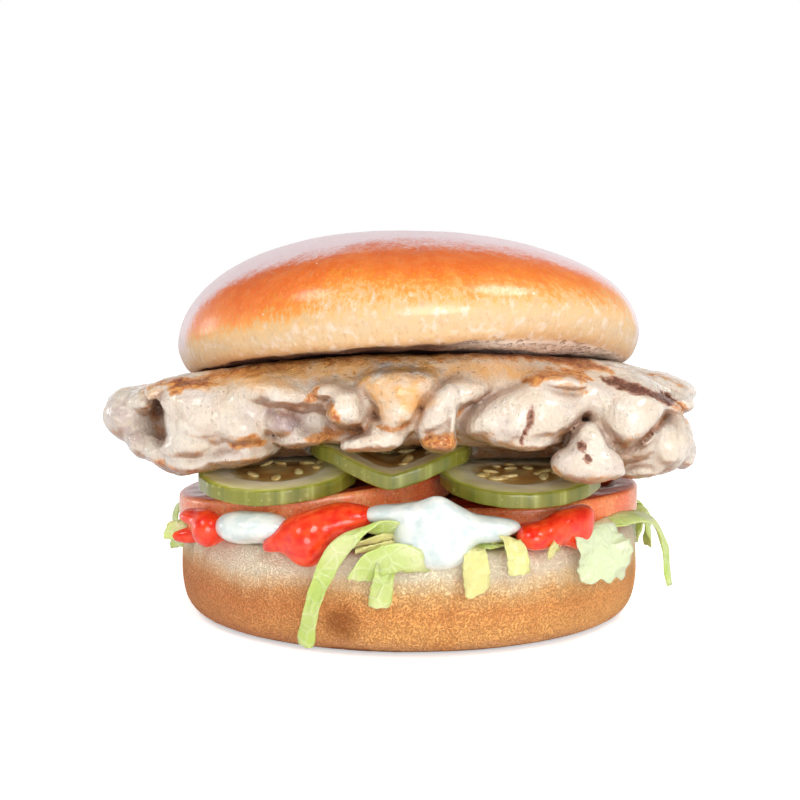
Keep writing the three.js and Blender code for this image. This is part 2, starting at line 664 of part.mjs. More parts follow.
const sauceBox = [[-60, -64, 14], [60, 64, 40]];
const firm = [heelTool, ...tomatoTools, ...pickleTools];
const sauceTools = [];
for (const [name, lobes] of Object.entries(ketchupDollops)) {
  addNode(name, toGeometry(cutAll(dollop(lobes, ...sauceBox), firm)), 'ketchup');
  sauceTools.push(dollop(lobes, ...sauceBox, GAP));
}
const film = { slice: tomatoes[0], at: [-20, -11], radius: 20 };
const mayoSolids = (grow) => ({
  mayo_left: joinAll([
    dollop(mayoLeftLobes, ...sauceBox, grow),
    sauceFilm(film.slice, film.at, film.radius, grow),
  ]),
  mayo_centre: dollop(mayoCentreLobes, ...sauceBox, grow),
  mayo_back: dollop(mayoBackLobes, ...sauceBox, grow),
});
for (const [name, solid] of Object.entries(mayoSolids(0))) {
  addNode(name, toGeometry(cutAll(solid, [...firm, ...sauceTools])), 'mayo');
}
sauceTools.push(...Object.values(mayoSolids(GAP)));

const leaves = [...frontLeaves, ...backLeaves()].map((each) => leaf(each, LETTUCE_THICKNESS));
const greens = joinAll([toSolid(lettuceBed()), ...leaves]);
addNode('lettuce', toGeometry(cutAll(greens, [...firm, ...sauceTools])), 'lettuce');

export default group;
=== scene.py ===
"""Chicken burger: the looks of a bun, a grilled chicken thigh, gherkins, tomato, two sauces and lettuce."""
import math

import bpy
import numpy as np
from mathutils import Euler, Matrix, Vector


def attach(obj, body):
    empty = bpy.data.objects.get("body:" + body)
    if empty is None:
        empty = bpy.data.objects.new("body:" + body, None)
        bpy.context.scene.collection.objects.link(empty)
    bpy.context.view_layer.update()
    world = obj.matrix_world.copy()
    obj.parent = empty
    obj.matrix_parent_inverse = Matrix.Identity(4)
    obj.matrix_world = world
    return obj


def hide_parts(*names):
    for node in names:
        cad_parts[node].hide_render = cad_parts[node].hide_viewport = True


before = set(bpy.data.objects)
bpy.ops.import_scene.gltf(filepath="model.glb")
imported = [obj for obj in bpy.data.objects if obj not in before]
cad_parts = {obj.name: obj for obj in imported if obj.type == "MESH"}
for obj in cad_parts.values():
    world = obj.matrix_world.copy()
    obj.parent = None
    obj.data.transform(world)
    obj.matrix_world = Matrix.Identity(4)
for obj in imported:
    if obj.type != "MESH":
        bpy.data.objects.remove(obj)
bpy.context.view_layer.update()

bl_info = {
    "name": "Chicken burger",
    "version": (1, 0, 0),
    "blender": (4, 5, 0),
    "location": "View3D > Sidebar > Burger",
    "description": "Builds a chicken burger with its fillings and a plain stage",
    "category": "Add Mesh",
}

# Sizes are in millimetres here, as for the solids. Meshes are scaled to metres when they are made
MM = 0.001
BUN_RADIUS = 55
HEEL_HEIGHT = 22.2
HEEL_DISH = 3.2
SCORCHED_AT = (-14.5, -53, 7.5)
CROWN_RISE = 28
CROWN_LIP = 6
CROWN_SEAT = 57.5
CROWN_TILT = 0.145
CROWN_LEAN = 0.029
CROWN_ARCH = 2.2
CROWN_BEVEL = 2.4
FILLET_HALF_WIDTH = 50
FILLET_HALF_DEPTH = 38
FILLET_ROUND = 6.5
FILLET_HALF = 4.1
FILLET_SEAT = 48.4
FILLET_TILT = 0.1
PICKLE_RADIUS = 18
PICKLE_THICKNESS = 3.3
SEED_SIZE = (5.2, 2.8, 1.1)
TOMATO_THICKNESS = 6.6

# The camera stands where the photo was taken from
VIEW_TARGET = (-2.3, 0, 49.8)
VIEW_DISTANCE = 380
VIEW_RISE = math.radians(5.5)
VIEW_LENS = 70.5
SENSOR = 36

# The marks on the meat are routes on a view this many pixels wide, where a pixel is so many millimetres
VIEW_PIXELS = 800
MM_A_PIXEL = 0.215

# How far lobes run into one another
MEAT_BLEND = 1.3
SAUCE_BLEND = 3.2

# A grid is worked out in this many slabs, and a curve in this many steps between control points.
# FAR is a distance past everything, to start a search for the nearest
GRID_SLABS = 12
CURVE_STEPS = 24
FAR = 1e3
MEAT_BOX = (-80, -66, 28), (80, 66, 72)

# What is scattered: the least distance in metres, and the seed of the random draws
SEED_SPACING = 0.0026
SEED_DRAW = 11
SHRED_SPACING = 0.004
SHRED_DRAW = 5

# The floor reaches out of the picture. Each light has a place, a size and a setting for its power
FLOOR_REACH = 3000
LIGHTS = {
    "key": ((300, -130, 500), 230),
    "fill": ((-330, -150, 470), 210),
    "front": ((120, -640, 160), 420),
    "side": ((-560, 240, 110), 160),
}
LIGHTS_AIM = (0, 0, 50)


def srgb(red, green, blue):
    """A colour as it looks on screen, from 0 to 255, for a shader's colour socket."""
    def linear(value):
        value /= 255
        return value / 12.92 if value <= 0.04045 else ((value + 0.055) / 1.055) ** 2.4
    return (linear(red), linear(green), linear(blue), 1.0)


# Settings that a user would change

def colour_setting(name, description, red, green, blue):
    return bpy.props.FloatVectorProperty(
        name=name, description=description, subtype="COLOR", size=4, min=0, max=1,
        default=srgb(red, green, blue))


def number_setting(name, description, default, **limits):
    return bpy.props.FloatProperty(name=name, description=description, default=default, **limits)


class BunSettings(bpy.types.PropertyGroup):
    baked: colour_setting("Baked crust", "Colour of the top of the glossy crust", 224, 100, 2)
    pale: colour_setting("Pale crust", "Colour of the low side of the crust", 214, 184, 142)
    side: colour_setting("Bottom side", "Colour of the browned side of the bottom bun", 244, 168, 94)
    streaks: number_setting("Streaks", "How far the brushed streaks reach down", 4.0, min=0, max=20)


class MeatSettings(bpy.types.PropertyGroup):
    cell: number_setting("Cell", "Grid step of the meat's skin in millimetres", 0.75, min=0.5, max=3)
    flesh: colour_setting("Flesh", "Colour of the pale cooked meat", 232, 214, 192)
    brown: colour_setting("Browned", "Colour of the browned ridges", 190, 98, 34)
    relief: number_setting("Relief", "Depth of the lumps of the surface", 0.0004, min=0, unit="LENGTH")


class FillingSettings(bpy.types.PropertyGroup):
    flesh: colour_setting("Gherkin flesh", "Colour of the pale ring of a gherkin slice", 248, 240, 204)
    skin: colour_setting("Gherkin skin", "Colour of a gherkin's skin", 128, 128, 44)
    tomato: colour_setting("Tomato", "Colour of a tomato slice's side", 252, 138, 84)
    seeds: bpy.props.IntProperty(
        name="Seeds", description="Seeds on each gherkin slice", default=34, min=0, max=300)


class SauceSettings(bpy.types.PropertyGroup):
    red: colour_setting("Red sauce", "Colour of the red sauce", 220, 30, 8)
    white: colour_setting("White sauce", "Colour of the white sauce", 222, 226, 220)
    cell: number_setting("Cell", "Grid step of the sauce's skin in millimetres", 0.6, min=0.3, max=3)


class LettuceSettings(bpy.types.PropertyGroup):
    pale: colour_setting("Pale leaf", "Colour of the inner leaves", 206, 212, 152)
    green: colour_setting("Green leaf", "Colour of the outer leaves", 172, 196, 92)
    thickness: number_setting("Thickness", "Thickness of a shred in millimetres", 0.55, min=0.2, max=2)
    shreds: number_setting("Shreds", "Small shreds for each square metre of the bed", 30000, min=0)


class StageSettings(bpy.types.PropertyGroup):
    key: number_setting("Key light", "Power of the main light", 1.3, unit="POWER")
    fill: number_setting("Fill light", "Power of the fill light", 0.7, unit="POWER")
    front: number_setting("Front light", "Power of the broad light in front", 2.5, unit="POWER")
    side: number_setting("Side light", "Power of the light at the left", 0.25, unit="POWER")
    floor: number_setting("Floor", "Glow of the pale floor in the picture", 0.5, min=0)
    sky: number_setting("Sky", "Strength of the light from all round", 0.6)


# Fields: negative inside, positive outside, the same as for the solids

def smoothstep(low, high, value):
    t = np.clip((value - low) / (high - low), 0, 1)
    return t * t * (3 - 2 * t)


def unevenness(x, y, z, size, phase=0.0):
    """A smooth wave in space with no fixed period, between -1 and 1."""
    a = np.sin(x / size + 1.3 * phase + 1.7 * np.sin(y / size * 0.83 + phase))
    b = np.sin(y / size * 1.13 + 2.1 * phase + 1.4 * np.sin(z / size * 1.07 - phase))
    c = np.sin(z / size * 0.91 - 0.7 * phase + 1.5 * np.sin(x / size * 0.77 + 2 * phase))
    return (a + b + c) / 3


def blend(a, b, width):
    h = np.maximum(width - np.abs(a - b), 0) / width
    return np.minimum(a, b) - h * h * width / 4


def carve(a, b, width):
    return -blend(-a, b, width)


def lobe(at, half, turn=0, lean=0, tip=0):
    """A rounded lobe of half sizes `half` at `at`, turned about Z, leant about Y and tipped about X."""
    turned = Euler([math.radians(v) for v in (tip, lean, turn)], "XYZ").to_matrix()
    return np.array(at, float), np.array(half, float), np.array(turned)


def lobe_distance(points, each):
    at, half, turned = each
    local = (points - at) @ turned
    k0 = np.linalg.norm(local / half, axis=-1)
    k1 = np.linalg.norm(local / half ** 2, axis=-1) + 1e-9
    return k0 * (k0 - 1) / k1


def blend_lobes(points, lobes, width):
    near = np.full(points.shape[:-1], FAR)
    for each in lobes:
        near = blend(near, lobe_distance(points, each), width)
    return near


def skin(field, low, high, cell):
    """The closed skin of a field inside a box, with one vertex in each cell that the surface crosses."""
    axes = [np.arange(low[n], high[n] + cell, cell) for n in range(3)]
    grid = np.stack(np.meshgrid(*axes, indexing="ij"), axis=-1)
    value = np.concatenate([field(part) for part in np.array_split(grid, GRID_SLABS)], axis=0)
    inside = value < 0
    cells = tuple(n - 1 for n in value.shape)
    total = np.zeros(cells + (3,))
    crossings = np.zeros(cells)

    def corner(array, offset):
        return array[tuple(slice(o, o + n) for o, n in zip(offset, cells))]

    corners = [(i, j, k) for i in (0, 1) for j in (0, 1) for k in (0, 1)]
    for a in corners:
        for b in corners:
            if sum(abs(p - q) for p, q in zip(a, b)) != 1 or a > b:
                continue
            va, vb = corner(value, a), corner(value, b)
            crossed = corner(inside, a) != corner(inside, b)
            t = np.where(crossed, va / np.where(crossed, va - vb, 1), 0)
            step = np.array(a) + t[..., None] * (np.array(b) - np.array(a))
            total += np.where(crossed[..., None], step, 0)
            crossings += crossed
    used = crossings > 0
    number = np.full(cells, -1)
    number[used] = np.arange(used.sum())
    place = np.argwhere(used) + total[used] / crossings[used][:, None]
    points = np.array(low) + place * cell
    faces = []
    for axis in range(3):
        b, c = (axis + 1) % 3, (axis + 2) % 3
        ahead = [slice(1, n) for n in cells]
        here = inside[tuple(ahead)]
        ahead[axis] = slice(2, cells[axis] + 1)
        there = inside[tuple(ahead)]
        for flip, crossed in ((False, here & ~there), (True, ~here & there)):
            at = np.argwhere(crossed) + 1
            quad = []
            for u, v in ((0, 0), (1, 0), (1, 1), (0, 1)):
                cell_at = at.copy()
                cell_at[:, b] -= u
                cell_at[:, c] -= v
                quad.append(number[tuple(cell_at.T)])
            if flip:
                quad.reverse()
            faces.append(np.stack(quad, axis=1))
    return points, np.concatenate(faces)


def smoothed(points, faces, passes):
    """The same points, each moved half way to the middle of its neighbours."""
    edges = np.concatenate([faces[:, [n, (n + 1) % faces.shape[1]]] for n in range(faces.shape[1])])
    for _ in range(passes):
        total = np.zeros_like(points)
        count = np.zeros(len(points))
        for a, b in ((0, 1), (1, 0)):
            np.add.at(total, edges[:, a], points[edges[:, b]])
            np.add.at(count, edges[:, a], 1)
        points = points + (total / count[:, None] - points) / 2
    return points


def smooth_curve(controls, count):
    """Evenly spaced points on a smooth curve through the control points."""
    controls = np.array(controls, float)
    ends = np.concatenate([[2 * controls[0] - controls[1]], controls, [2 * controls[-1] - controls[-2]]])
    fine = []
    for n in range(len(controls) - 1):
        p0, p1, p2, p3 = ends[n:n + 4]
        t = np.linspace(0, 1, CURVE_STEPS, endpoint=False)[:, None]
        fine.append(0.5 * (2 * p1 + (p2 - p0) * t + (2 * p0 - 5 * p1 + 4 * p2 - p3) * t ** 2
                           + (3 * p1 - p0 - 3 * p2 + p3) * t ** 3))
    fine = np.concatenate(fine + [controls[-1:]])
    reach = np.concatenate([[0], np.cumsum(np.linalg.norm(np.diff(fine, axis=0), axis=1))])
    even = np.linspace(0, reach[-1], count)
    return np.stack([np.interp(even, reach, fine[:, n]) for n in range(fine.shape[1])], axis=1)


def revolve(profile, steps):
    """A closed turned shape from [radius, height] pairs that run up the outside, from axis to axis."""
    angles = np.linspace(0, 2 * math.pi, steps, endpoint=False)
    rings = profile[1:-1]
    circle = np.stack([np.cos(angles), np.sin(angles)], axis=1)
    body = np.concatenate([circle[None, :, :] * rings[:, None, :1],
                           np.broadcast_to(rings[:, None, 1:], (len(rings), steps, 1))], axis=2)
    points = np.concatenate([[[0, 0, profile[0, 1]]], body.reshape(-1, 3), [[0, 0, profile[-1, 1]]]])
    ring = np.arange(steps)
    after = (ring + 1) % steps
    faces = []
    for n in range(len(rings) - 1):
        low, high = 1 + n * steps, 1 + (n + 1) * steps
        faces.append(np.stack([low + ring, low + after, high + after, high + ring], axis=1))
    last = len(points) - 1
    end = last - steps
    caps = [(0, 1 + after[n], 1 + ring[n]) for n in range(steps)]
    caps += [(last, end + ring[n], end + after[n]) for n in range(steps)]
    return points, np.concatenate(faces).tolist() + caps


def round_axis(angle, third):
    """Coordinates that run round the vertical axis without a seam, with a third value."""
    return np.stack([np.cos(angle), np.sin(angle), third], axis=1)


def make_object(name, points, faces, values=None):
    """A mesh object from points in millimetres, with a named value for each point where given."""
    mesh = bpy.data.meshes.new(name)
    faces = faces.tolist() if isinstance(faces, np.ndarray) else faces
    mesh.from_pydata((np.asarray(points) * MM).tolist(), [], faces)
    for key, data in (values or {}).items():
        data = np.asarray(data, float)
        kind, field = ("FLOAT_VECTOR", "vector") if data.ndim == 2 else ("FLOAT", "value")
        mesh.attributes.new(key, kind, "POINT").data.foreach_set(field, data.ravel())
    mesh.polygons.foreach_set("use_smooth", [True] * len(mesh.polygons))
    mesh.validate()
    mesh.update()
    piece = bpy.data.objects.new(name, mesh)
    bpy.context.scene.collection.objects.link(piece)
    return piece


def normals_of(points, faces):
    """Unit normals of a mesh of quads."""
    corners = points[faces]
    face = np.cross(corners[:, 2] - corners[:, 0], corners[:, 3] - corners[:, 1])
    total = np.zeros_like(points)
    for n in range(4):
        np.add.at(total, faces[:, n], face)
    return total / (np.linalg.norm(total, axis=1, keepdims=True) + 1e-12)


# Node trees

def put(tree, kind, inputs=None, **settings):
    """A new node with its settings, and with each input set to a value or linked to a socket."""
    node = tree.nodes.new(kind)
    for key, value in settings.items():
        setattr(node, key, value)
    for key, value in (inputs or {}).items():
        if isinstance(value, bpy.types.NodeSocket):
            tree.links.new(value, node.inputs[key])
        else:
            node.inputs[key].default_value = value
    return node


def calc(operation, a, b=0.0, c=0.0, clamp=False):
    """One step of arithmetic, in the tree that its first socket belongs to."""
    tree = next(value.id_data for value in (a, b, c) if isinstance(value, bpy.types.NodeSocket))
    node = put(tree, "ShaderNodeMath", {0: a, 1: b, 2: c}, operation=operation, use_clamp=clamp)
    return node.outputs[0]


def times(a, b):
    return calc("MULTIPLY", a, b)


def plus(a, b):
    return calc("ADD", a, b)


def minus(a, b):
    return calc("SUBTRACT", a, b)


def swing(value, span):
    """A value between 0 and 1 as one that swings `span` wide about nought."""
    return calc("MULTIPLY_ADD", value, span, -span / 2)


def scaled(vector, factor):
    node = put(vector.id_data, "ShaderNodeVectorMath", {0: vector}, operation="MULTIPLY")
    node.inputs[1].default_value = factor if isinstance(factor, tuple) else (factor,) * 3
    return node.outputs[0]


def ease(value, low, high, to_low=0.0, to_high=1.0):
    """A smooth step of a value from one range to another."""
    return put(value.id_data, "ShaderNodeMapRange", {
        "Value": value, "From Min": low, "From Max": high, "To Min": to_low, "To Max": to_high,
    }, interpolation_type="SMOOTHSTEP").outputs[0]


def mix(share, a, b):
    """Colour a, with the given share of colour b over it."""
    return put(share.id_data, "ShaderNodeMix", {0: share, 6: a, 7: b}, data_type="RGBA").outputs[2]


def ramp(value, stops):
    """A colour for a value between 0 and 1, from stops: a place, then a setting or red, green and blue."""
    node = put(value.id_data, "ShaderNodeValToRGB", {0: value})
    bands = node.color_ramp
    bands.interpolation = "EASE"
    while len(bands.elements) < len(stops):
        bands.elements.new(0.5)
    for element, (place, *colour) in zip(bands.elements, stops):
        element.position = place
        element.color = srgb(*colour) if len(colour) == 3 else tuple(colour[0])
    return node.outputs[0]


def noise(vector, size, detail=3.0, roughness=0.5, distortion=0.0):
    """Noise between 0 and 1 whose features are about `size` of the vector's units, a number or a socket."""
    scale = calc("DIVIDE", 1.0, size) if isinstance(size, bpy.types.NodeSocket) else 1 / size
    return put(vector.id_data, "ShaderNodeTexNoise", {
        "Vector": vector, "Scale": scale, "Detail": detail, "Roughness": roughness,
        "Distortion": distortion,
    }).outputs[0]


def new_group(name, kind, output, **inputs):
    """An empty node group. Each input is named with its default, or with the kind of its socket."""
    tree = bpy.data.node_groups.new(name, kind)
    kinds = {float: "Float", int: "Int", bool: "Bool", tuple: "Vector"}
    for label, given in inputs.items():
        sort = given if isinstance(given, str) else kinds[type(given)]
        socket = tree.interface.new_socket(
            name=label.replace("_", " "), in_out="INPUT", socket_type="NodeSocket" + sort)
        if given != sort:
            socket.default_value = given
    label, sort = output
    tree.interface.new_socket(name=label, in_out="OUTPUT", socket_type="NodeSocket" + sort)
    return tree, tree.nodes.new("NodeGroupInput").outputs, tree.nodes.new("NodeGroupOutput").inputs


def mottle_group():
    """Soft uneven areas: a mask whose areas are `Size` wide."""
    tree, given, out = new_group(
        "Mottle", "ShaderNodeTree", ("Mask", "Float"), Vector="Vector", Size=10.0, Low=0.4, High=0.6)
    wave = noise(given["Vector"], given["Size"])
    tree.links.new(ease(wave, given["Low"], given["High"]), out["Mask"])


def speck_group():
    """Scattered round specks: one to a cell of `Size`, of uneven radius, on a share of the cells."""
    tree, given, out = new_group(
        "Specks", "ShaderNodeTree", ("Mask", "Float"), Vector="Vector", Size=4.0, Radius=0.2, Share=0.5)
    scale = calc("DIVIDE", 1.0, given["Size"])
    cells = put(tree, "ShaderNodeTexVoronoi", {"Vector": given["Vector"], "Scale": scale})
    chance = put(tree, "ShaderNodeSeparateColor", {0: cells.outputs["Color"]})
    radius = times(given["Radius"], plus(chance.outputs[1], 0.4))
    near = ease(cells.outputs["Distance"], times(radius, 0.6), radius, 1.0, 0.0)
    kept = calc("LESS_THAN", chance.outputs[0], given["Share"])
    tree.links.new(times(near, kept), out["Mask"])


class Finish:
    """A material in the making, with its tree, its surface shader and coordinates in millimetres."""

    def __init__(self, name, **sockets):
        self.colour = None
        self.material = bpy.data.materials.new(name)
        self.material.use_nodes = True
        self.tree = self.material.node_tree
        self.shader = self.tree.nodes["Principled BSDF"]
        self.place = scaled(put(self.tree, "ShaderNodeTexCoord").outputs["Object"], 1 / MM)
        for key, value in sockets.items():
            self.shader.inputs[key.replace("_", " ")].default_value = value

    def value(self, name):
        return put(self.tree, "ShaderNodeAttribute", attribute_name=name).outputs["Fac"]

    def vector(self, name):
        return put(self.tree, "ShaderNodeAttribute", attribute_name=name).outputs["Vector"]

    def part(self, vector, axis):
        return put(self.tree, "ShaderNodeSeparateXYZ", {0: vector}).outputs[axis]

    def group(self, name, **inputs):
        node = put(self.tree, "ShaderNodeGroup", node_tree=bpy.data.node_groups[name])
        for key, value in inputs.items():
            node.inputs[key].default_value = value
        self.tree.links.new(self.place, node.inputs["Vector"])
        return node.outputs[0]

    def mottle(self, size, low=0.4, high=0.6):
        return self.group("Mottle", Size=size, Low=low, High=high)

    def specks(self, size, radius, share):
        return self.group("Specks", Size=size, Radius=radius, Share=share)

    def paint(self, share, red, green, blue):
        """Lay a share of a colour over the colour so far."""
        self.colour = mix(share, self.colour, srgb(red, green, blue))

    def set(self, socket, value):
        self.tree.links.new(value, self.shader.inputs[socket])

    def done(self, colour, height=None, distance=0.0):
        """The material, with its colour and with a height whose dents are `distance` metres deep."""
        self.set("Base Color", colour)
        if height is not None:
            self.set("Normal", put(self.tree, "ShaderNodeBump", {
                "Height": height, "Distance": distance, "Strength": 1.0}).outputs[0])
        return self.material


# Relief by Geometry Nodes

def dressed(geometry, material):
    """The geometry as a plain mesh in its material."""
    tree = geometry.id_data
    real = put(tree, "GeometryNodeRealizeInstances", {0: geometry})
    worn = put(tree, "GeometryNodeSetMaterial", {"Geometry": real.outputs[0], "Material": material})
    return worn.outputs[0]


def relief_group():
    """Lumps and fine grain on a surface, moved along its normals, with a stretched grain where asked."""
    tree, given, out = new_group(
        "Relief", "GeometryNodeTree", ("Geometry", "Geometry"), Geometry="Geometry", Lump=0.0005,
        Lump_Size=0.006, Grain=0.0001, Grain_Size=0.001, Stretch=(1, 1, 1), Material="Material")
    position = put(tree, "GeometryNodeInputPosition").outputs[0]
    normal = put(tree, "GeometryNodeInputNormal").outputs[0]
    stretched = put(tree, "ShaderNodeVectorMath", {0: position, 1: given["Stretch"]}, operation="MULTIPLY")
    lump = times(minus(noise(position, given["Lump Size"], 2), 0.5), given["Lump"])
    grain = minus(noise(stretched.outputs[0], given["Grain Size"], 2), 0.5)
    grain = times(grain, given["Grain"])
    height = times(plus(lump, grain), 2.0)
    offset = put(tree, "ShaderNodeVectorMath", {0: normal, "Scale": height}, operation="SCALE").outputs[0]
    moved = put(tree, "GeometryNodeSetPosition", {"Geometry": given["Geometry"], "Offset": offset})
    tree.links.new(dressed(moved.outputs[0], given["Material"]), out["Geometry"])


def scatter_group():
    """Small copies of a thing on the faces of a surface where its `seeded` value is high."""
    tree, given, out = new_group(
        "Scatter", "GeometryNodeTree", ("Geometry", "Geometry"), Geometry="Geometry", Thing="Object",
        Density=1000.0, Spacing=0.001, Seed=1, Smallest=0.7, Tip=0.2, Material="Material")
    where = put(tree, "GeometryNodeInputNamedAttribute", {"Name": "seeded"}, data_type="FLOAT").outputs[0]
    chosen = put(tree, "FunctionNodeCompare", {0: where, 1: 0.5}, operation="GREATER_THAN").outputs[0]
    points = put(tree, "GeometryNodeDistributePointsOnFaces", {
        "Mesh": given["Geometry"], "Selection": chosen, "Distance Min": given["Spacing"],
        "Density Max": given["Density"], "Seed": given["Seed"],
    }, distribute_method="POISSON")
    thing = put(tree, "GeometryNodeObjectInfo", {"Object": given["Thing"]})
    tip, back = given["Tip"], times(given["Tip"], -1.0)
    low = put(tree, "ShaderNodeCombineXYZ", {0: back, 1: back, 2: 0.0}).outputs[0]
    high = put(tree, "ShaderNodeCombineXYZ", {0: tip, 1: tip, 2: 2 * math.pi}).outputs[0]
    turn = put(tree, "FunctionNodeRandomValue", {
        "Min": low, "Max": high, "Seed": given["Seed"]}, data_type="FLOAT_VECTOR")
    size = put(tree, "FunctionNodeRandomValue", {2: given["Smallest"], 3: 1.0}, data_type="FLOAT")
    spun = put(tree, "FunctionNodeRotateEuler", {
        "Rotation": points.outputs["Rotation"], "Rotate By": turn.outputs[0]}, space="LOCAL")
    copies = put(tree, "GeometryNodeInstanceOnPoints", {
        "Points": points.outputs["Points"], "Instance": thing.outputs["Geometry"],
        "Rotation": spun.outputs[0], "Scale": size.outputs[1]})
    joined = put(tree, "GeometryNodeJoinGeometry")
    tree.links.new(dressed(copies.outputs[0], given["Material"]), joined.inputs[0])
    tree.links.new(given["Geometry"], joined.inputs[0])
    tree.links.new(joined.outputs[0], out["Geometry"])


def apply_nodes(piece, group, **inputs):
    """Run a Geometry Nodes group on a piece and keep its result as the piece's plain mesh."""
    modifier = piece.modifiers.new(group, "NODES")
    modifier.node_group = bpy.data.node_groups[group]
    for item in modifier.node_group.interface.items_tree:
        key = item.name.replace(" ", "_")
        if item.in_out == "INPUT" and key in inputs:
            modifier[item.identifier] = inputs[key]
    bpy.context.view_layer.update()
    shape = piece.evaluated_get(bpy.context.evaluated_depsgraph_get())
    mesh = bpy.data.meshes.new_from_object(shape)
    mesh.name = piece.name
    piece.modifiers.remove(modifier)
    old = piece.data
    piece.data = mesh
    bpy.data.meshes.remove(old)
    if not len(mesh.polygons):
        raise RuntimeError(f"{piece.name} came out empty")


def relief(piece, finish, lump, lump_size, grain, grain_size, stretch=(1.0, 1.0, 1.0)):
    apply_nodes(piece, "Relief", Lump=lump, Lump_Size=lump_size, Grain=grain, Grain_Size=grain_size,
                Stretch=stretch, Material=finish)


def place_piece(piece, finish, slot, *nodes):
    """Give a piece its finish where it has none, and its place on the body."""
    if not any(piece.data.materials):
        piece.data.materials.clear()
        piece.data.materials.append(finish)
    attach(piece, "root")
    if nodes:
        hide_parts(*nodes)


# Buns

def heel_top(radius):
    return HEEL_HEIGHT - HEEL_DISH * (1 - smoothstep(26, 50, radius))


def crown_seat(x, y):
    front = smoothstep(10, BUN_RADIUS, -y)
    return CROWN_SEAT + CROWN_LEAN * x - CROWN_TILT * (y + 3) + CROWN_ARCH * front * front * 0.6


def crown_underside(x, y):
    reach = np.minimum(1, np.hypot(x, y) / (BUN_RADIUS - 3))
    return crown_seat(x, y) + 2.2 * (1 - reach * reach)


def crown_bevel(x, y, z):
    """How far the cut edge is raised at the front right, where the crumb of the cut face shows."""
    away = (np.arctan2(y, x) + 0.9) / 0.5
    edge = smoothstep(46, 54, np.hypot(x, y)) * (1 - smoothstep(1, 3 * CROWN_LIP, z))
    return CROWN_BEVEL * edge * np.exp(-away * away)


def crown_piece(finish):
    arcs = 12
    dome = []
    for n in range(arcs + 1):
        angle = math.pi / 2 * n / arcs
        dome.append([0 if n == arcs else BUN_RADIUS * math.cos(angle) ** 0.93,
                     CROWN_LIP + CROWN_RISE * math.sin(angle) ** 0.97])
    under = [[0, 2.2], [20, 1.9], [38, 1.0], [48, 0.3], [50.6, 0.05], [52.2, 0.4], [53.8, 2.2]]
    profile = np.concatenate([
        smooth_curve(under[:5], 40)[:-1],
        smooth_curve(under[4:] + dome, 110),
    ])
    points, faces = revolve(profile, 260)
    x, y, z = points.T
    local = z.copy()
    angle = np.arctan2(y, x)
    radius = np.hypot(x, y)
    swell = 1 + 0.012 * unevenness(x, y, z, 30, 4)
    z = z + crown_bevel(x, y, z)
    rise = z / (CROWN_LIP + CROWN_RISE)
    seat = crown_seat(x, y) * (1 - rise * rise) + (CROWN_SEAT - 0.8) * rise * rise
    cut = smoothstep(52.2, 51.2, radius) * smoothstep(5, 3, local)
    crumb = 0.5 * cut * (unevenness(x, y, z, 3.1, 2) + 0.6 * unevenness(x, y, z, 1.3, 5))
    pleats = np.sin(9 * angle + 2 * np.sin(3 * angle))
    dent = 0.25 * (1 - cut) * unevenness(x, y, z, 11, 7) + 0.12 * (1 - cut) * pleats
    spread = 1 + dent / BUN_RADIUS
    points = np.stack([x * swell * spread - 1.2 * rise, y * swell * spread, z + seat + crumb], axis=1)
    streak = round_axis(angle, local / BUN_RADIUS)
    piece = make_object("top_bun", points, faces, {"height": local, "cut": cut, "streak": streak})
    relief(piece, finish, 0.0002, 0.014, 0.00003, 0.0011)
    return piece


def heel_piece(finish):
    under = [[0, 0], [24, 0], [40, 0], [47, 0.05]]
    side = [[49.2, 0.25], [52.2, 1.5], [54.1, 4], [55, 8.5], [55, 14], [54.7, 18], [54.2, 20.6]]
    lip = [[53.2, 21.9], [51, HEEL_HEIGHT + 0.1]]
    top = [[r, heel_top(r)] for r in (48, 38, 26, 13, 0)]
    profile = smooth_curve(under + side + lip + top, 190)
    profile[0, 0] = profile[-1, 0] = 0
    profile[:, 1] = np.maximum(profile[:, 1], 0)
    points, faces = revolve(profile, 280)
    x, y, z = points.T
    radius = np.hypot(x, y)
    edge = smoothstep(35, BUN_RADIUS, radius) * smoothstep(0, 3, z)
    swell = 1 + 0.008 * edge * unevenness(x, y, 0, 24, 1) + 0.003 * edge * unevenness(x, y, z, 7, 3)
    angle = np.arctan2(y, x)
    streak = round_axis(angle, z / BUN_RADIUS)
    cut = smoothstep(52.6, 51.4, radius) * smoothstep(12, 16, z)
    points = np.stack([x * swell, y * swell, z], axis=1)
    piece = make_object("bottom_bun", points, faces, {"height": z, "cut": cut, "streak": streak})
    relief(piece, finish, 0.0001, 0.009, 0.00008, 0.0009)
    return piece


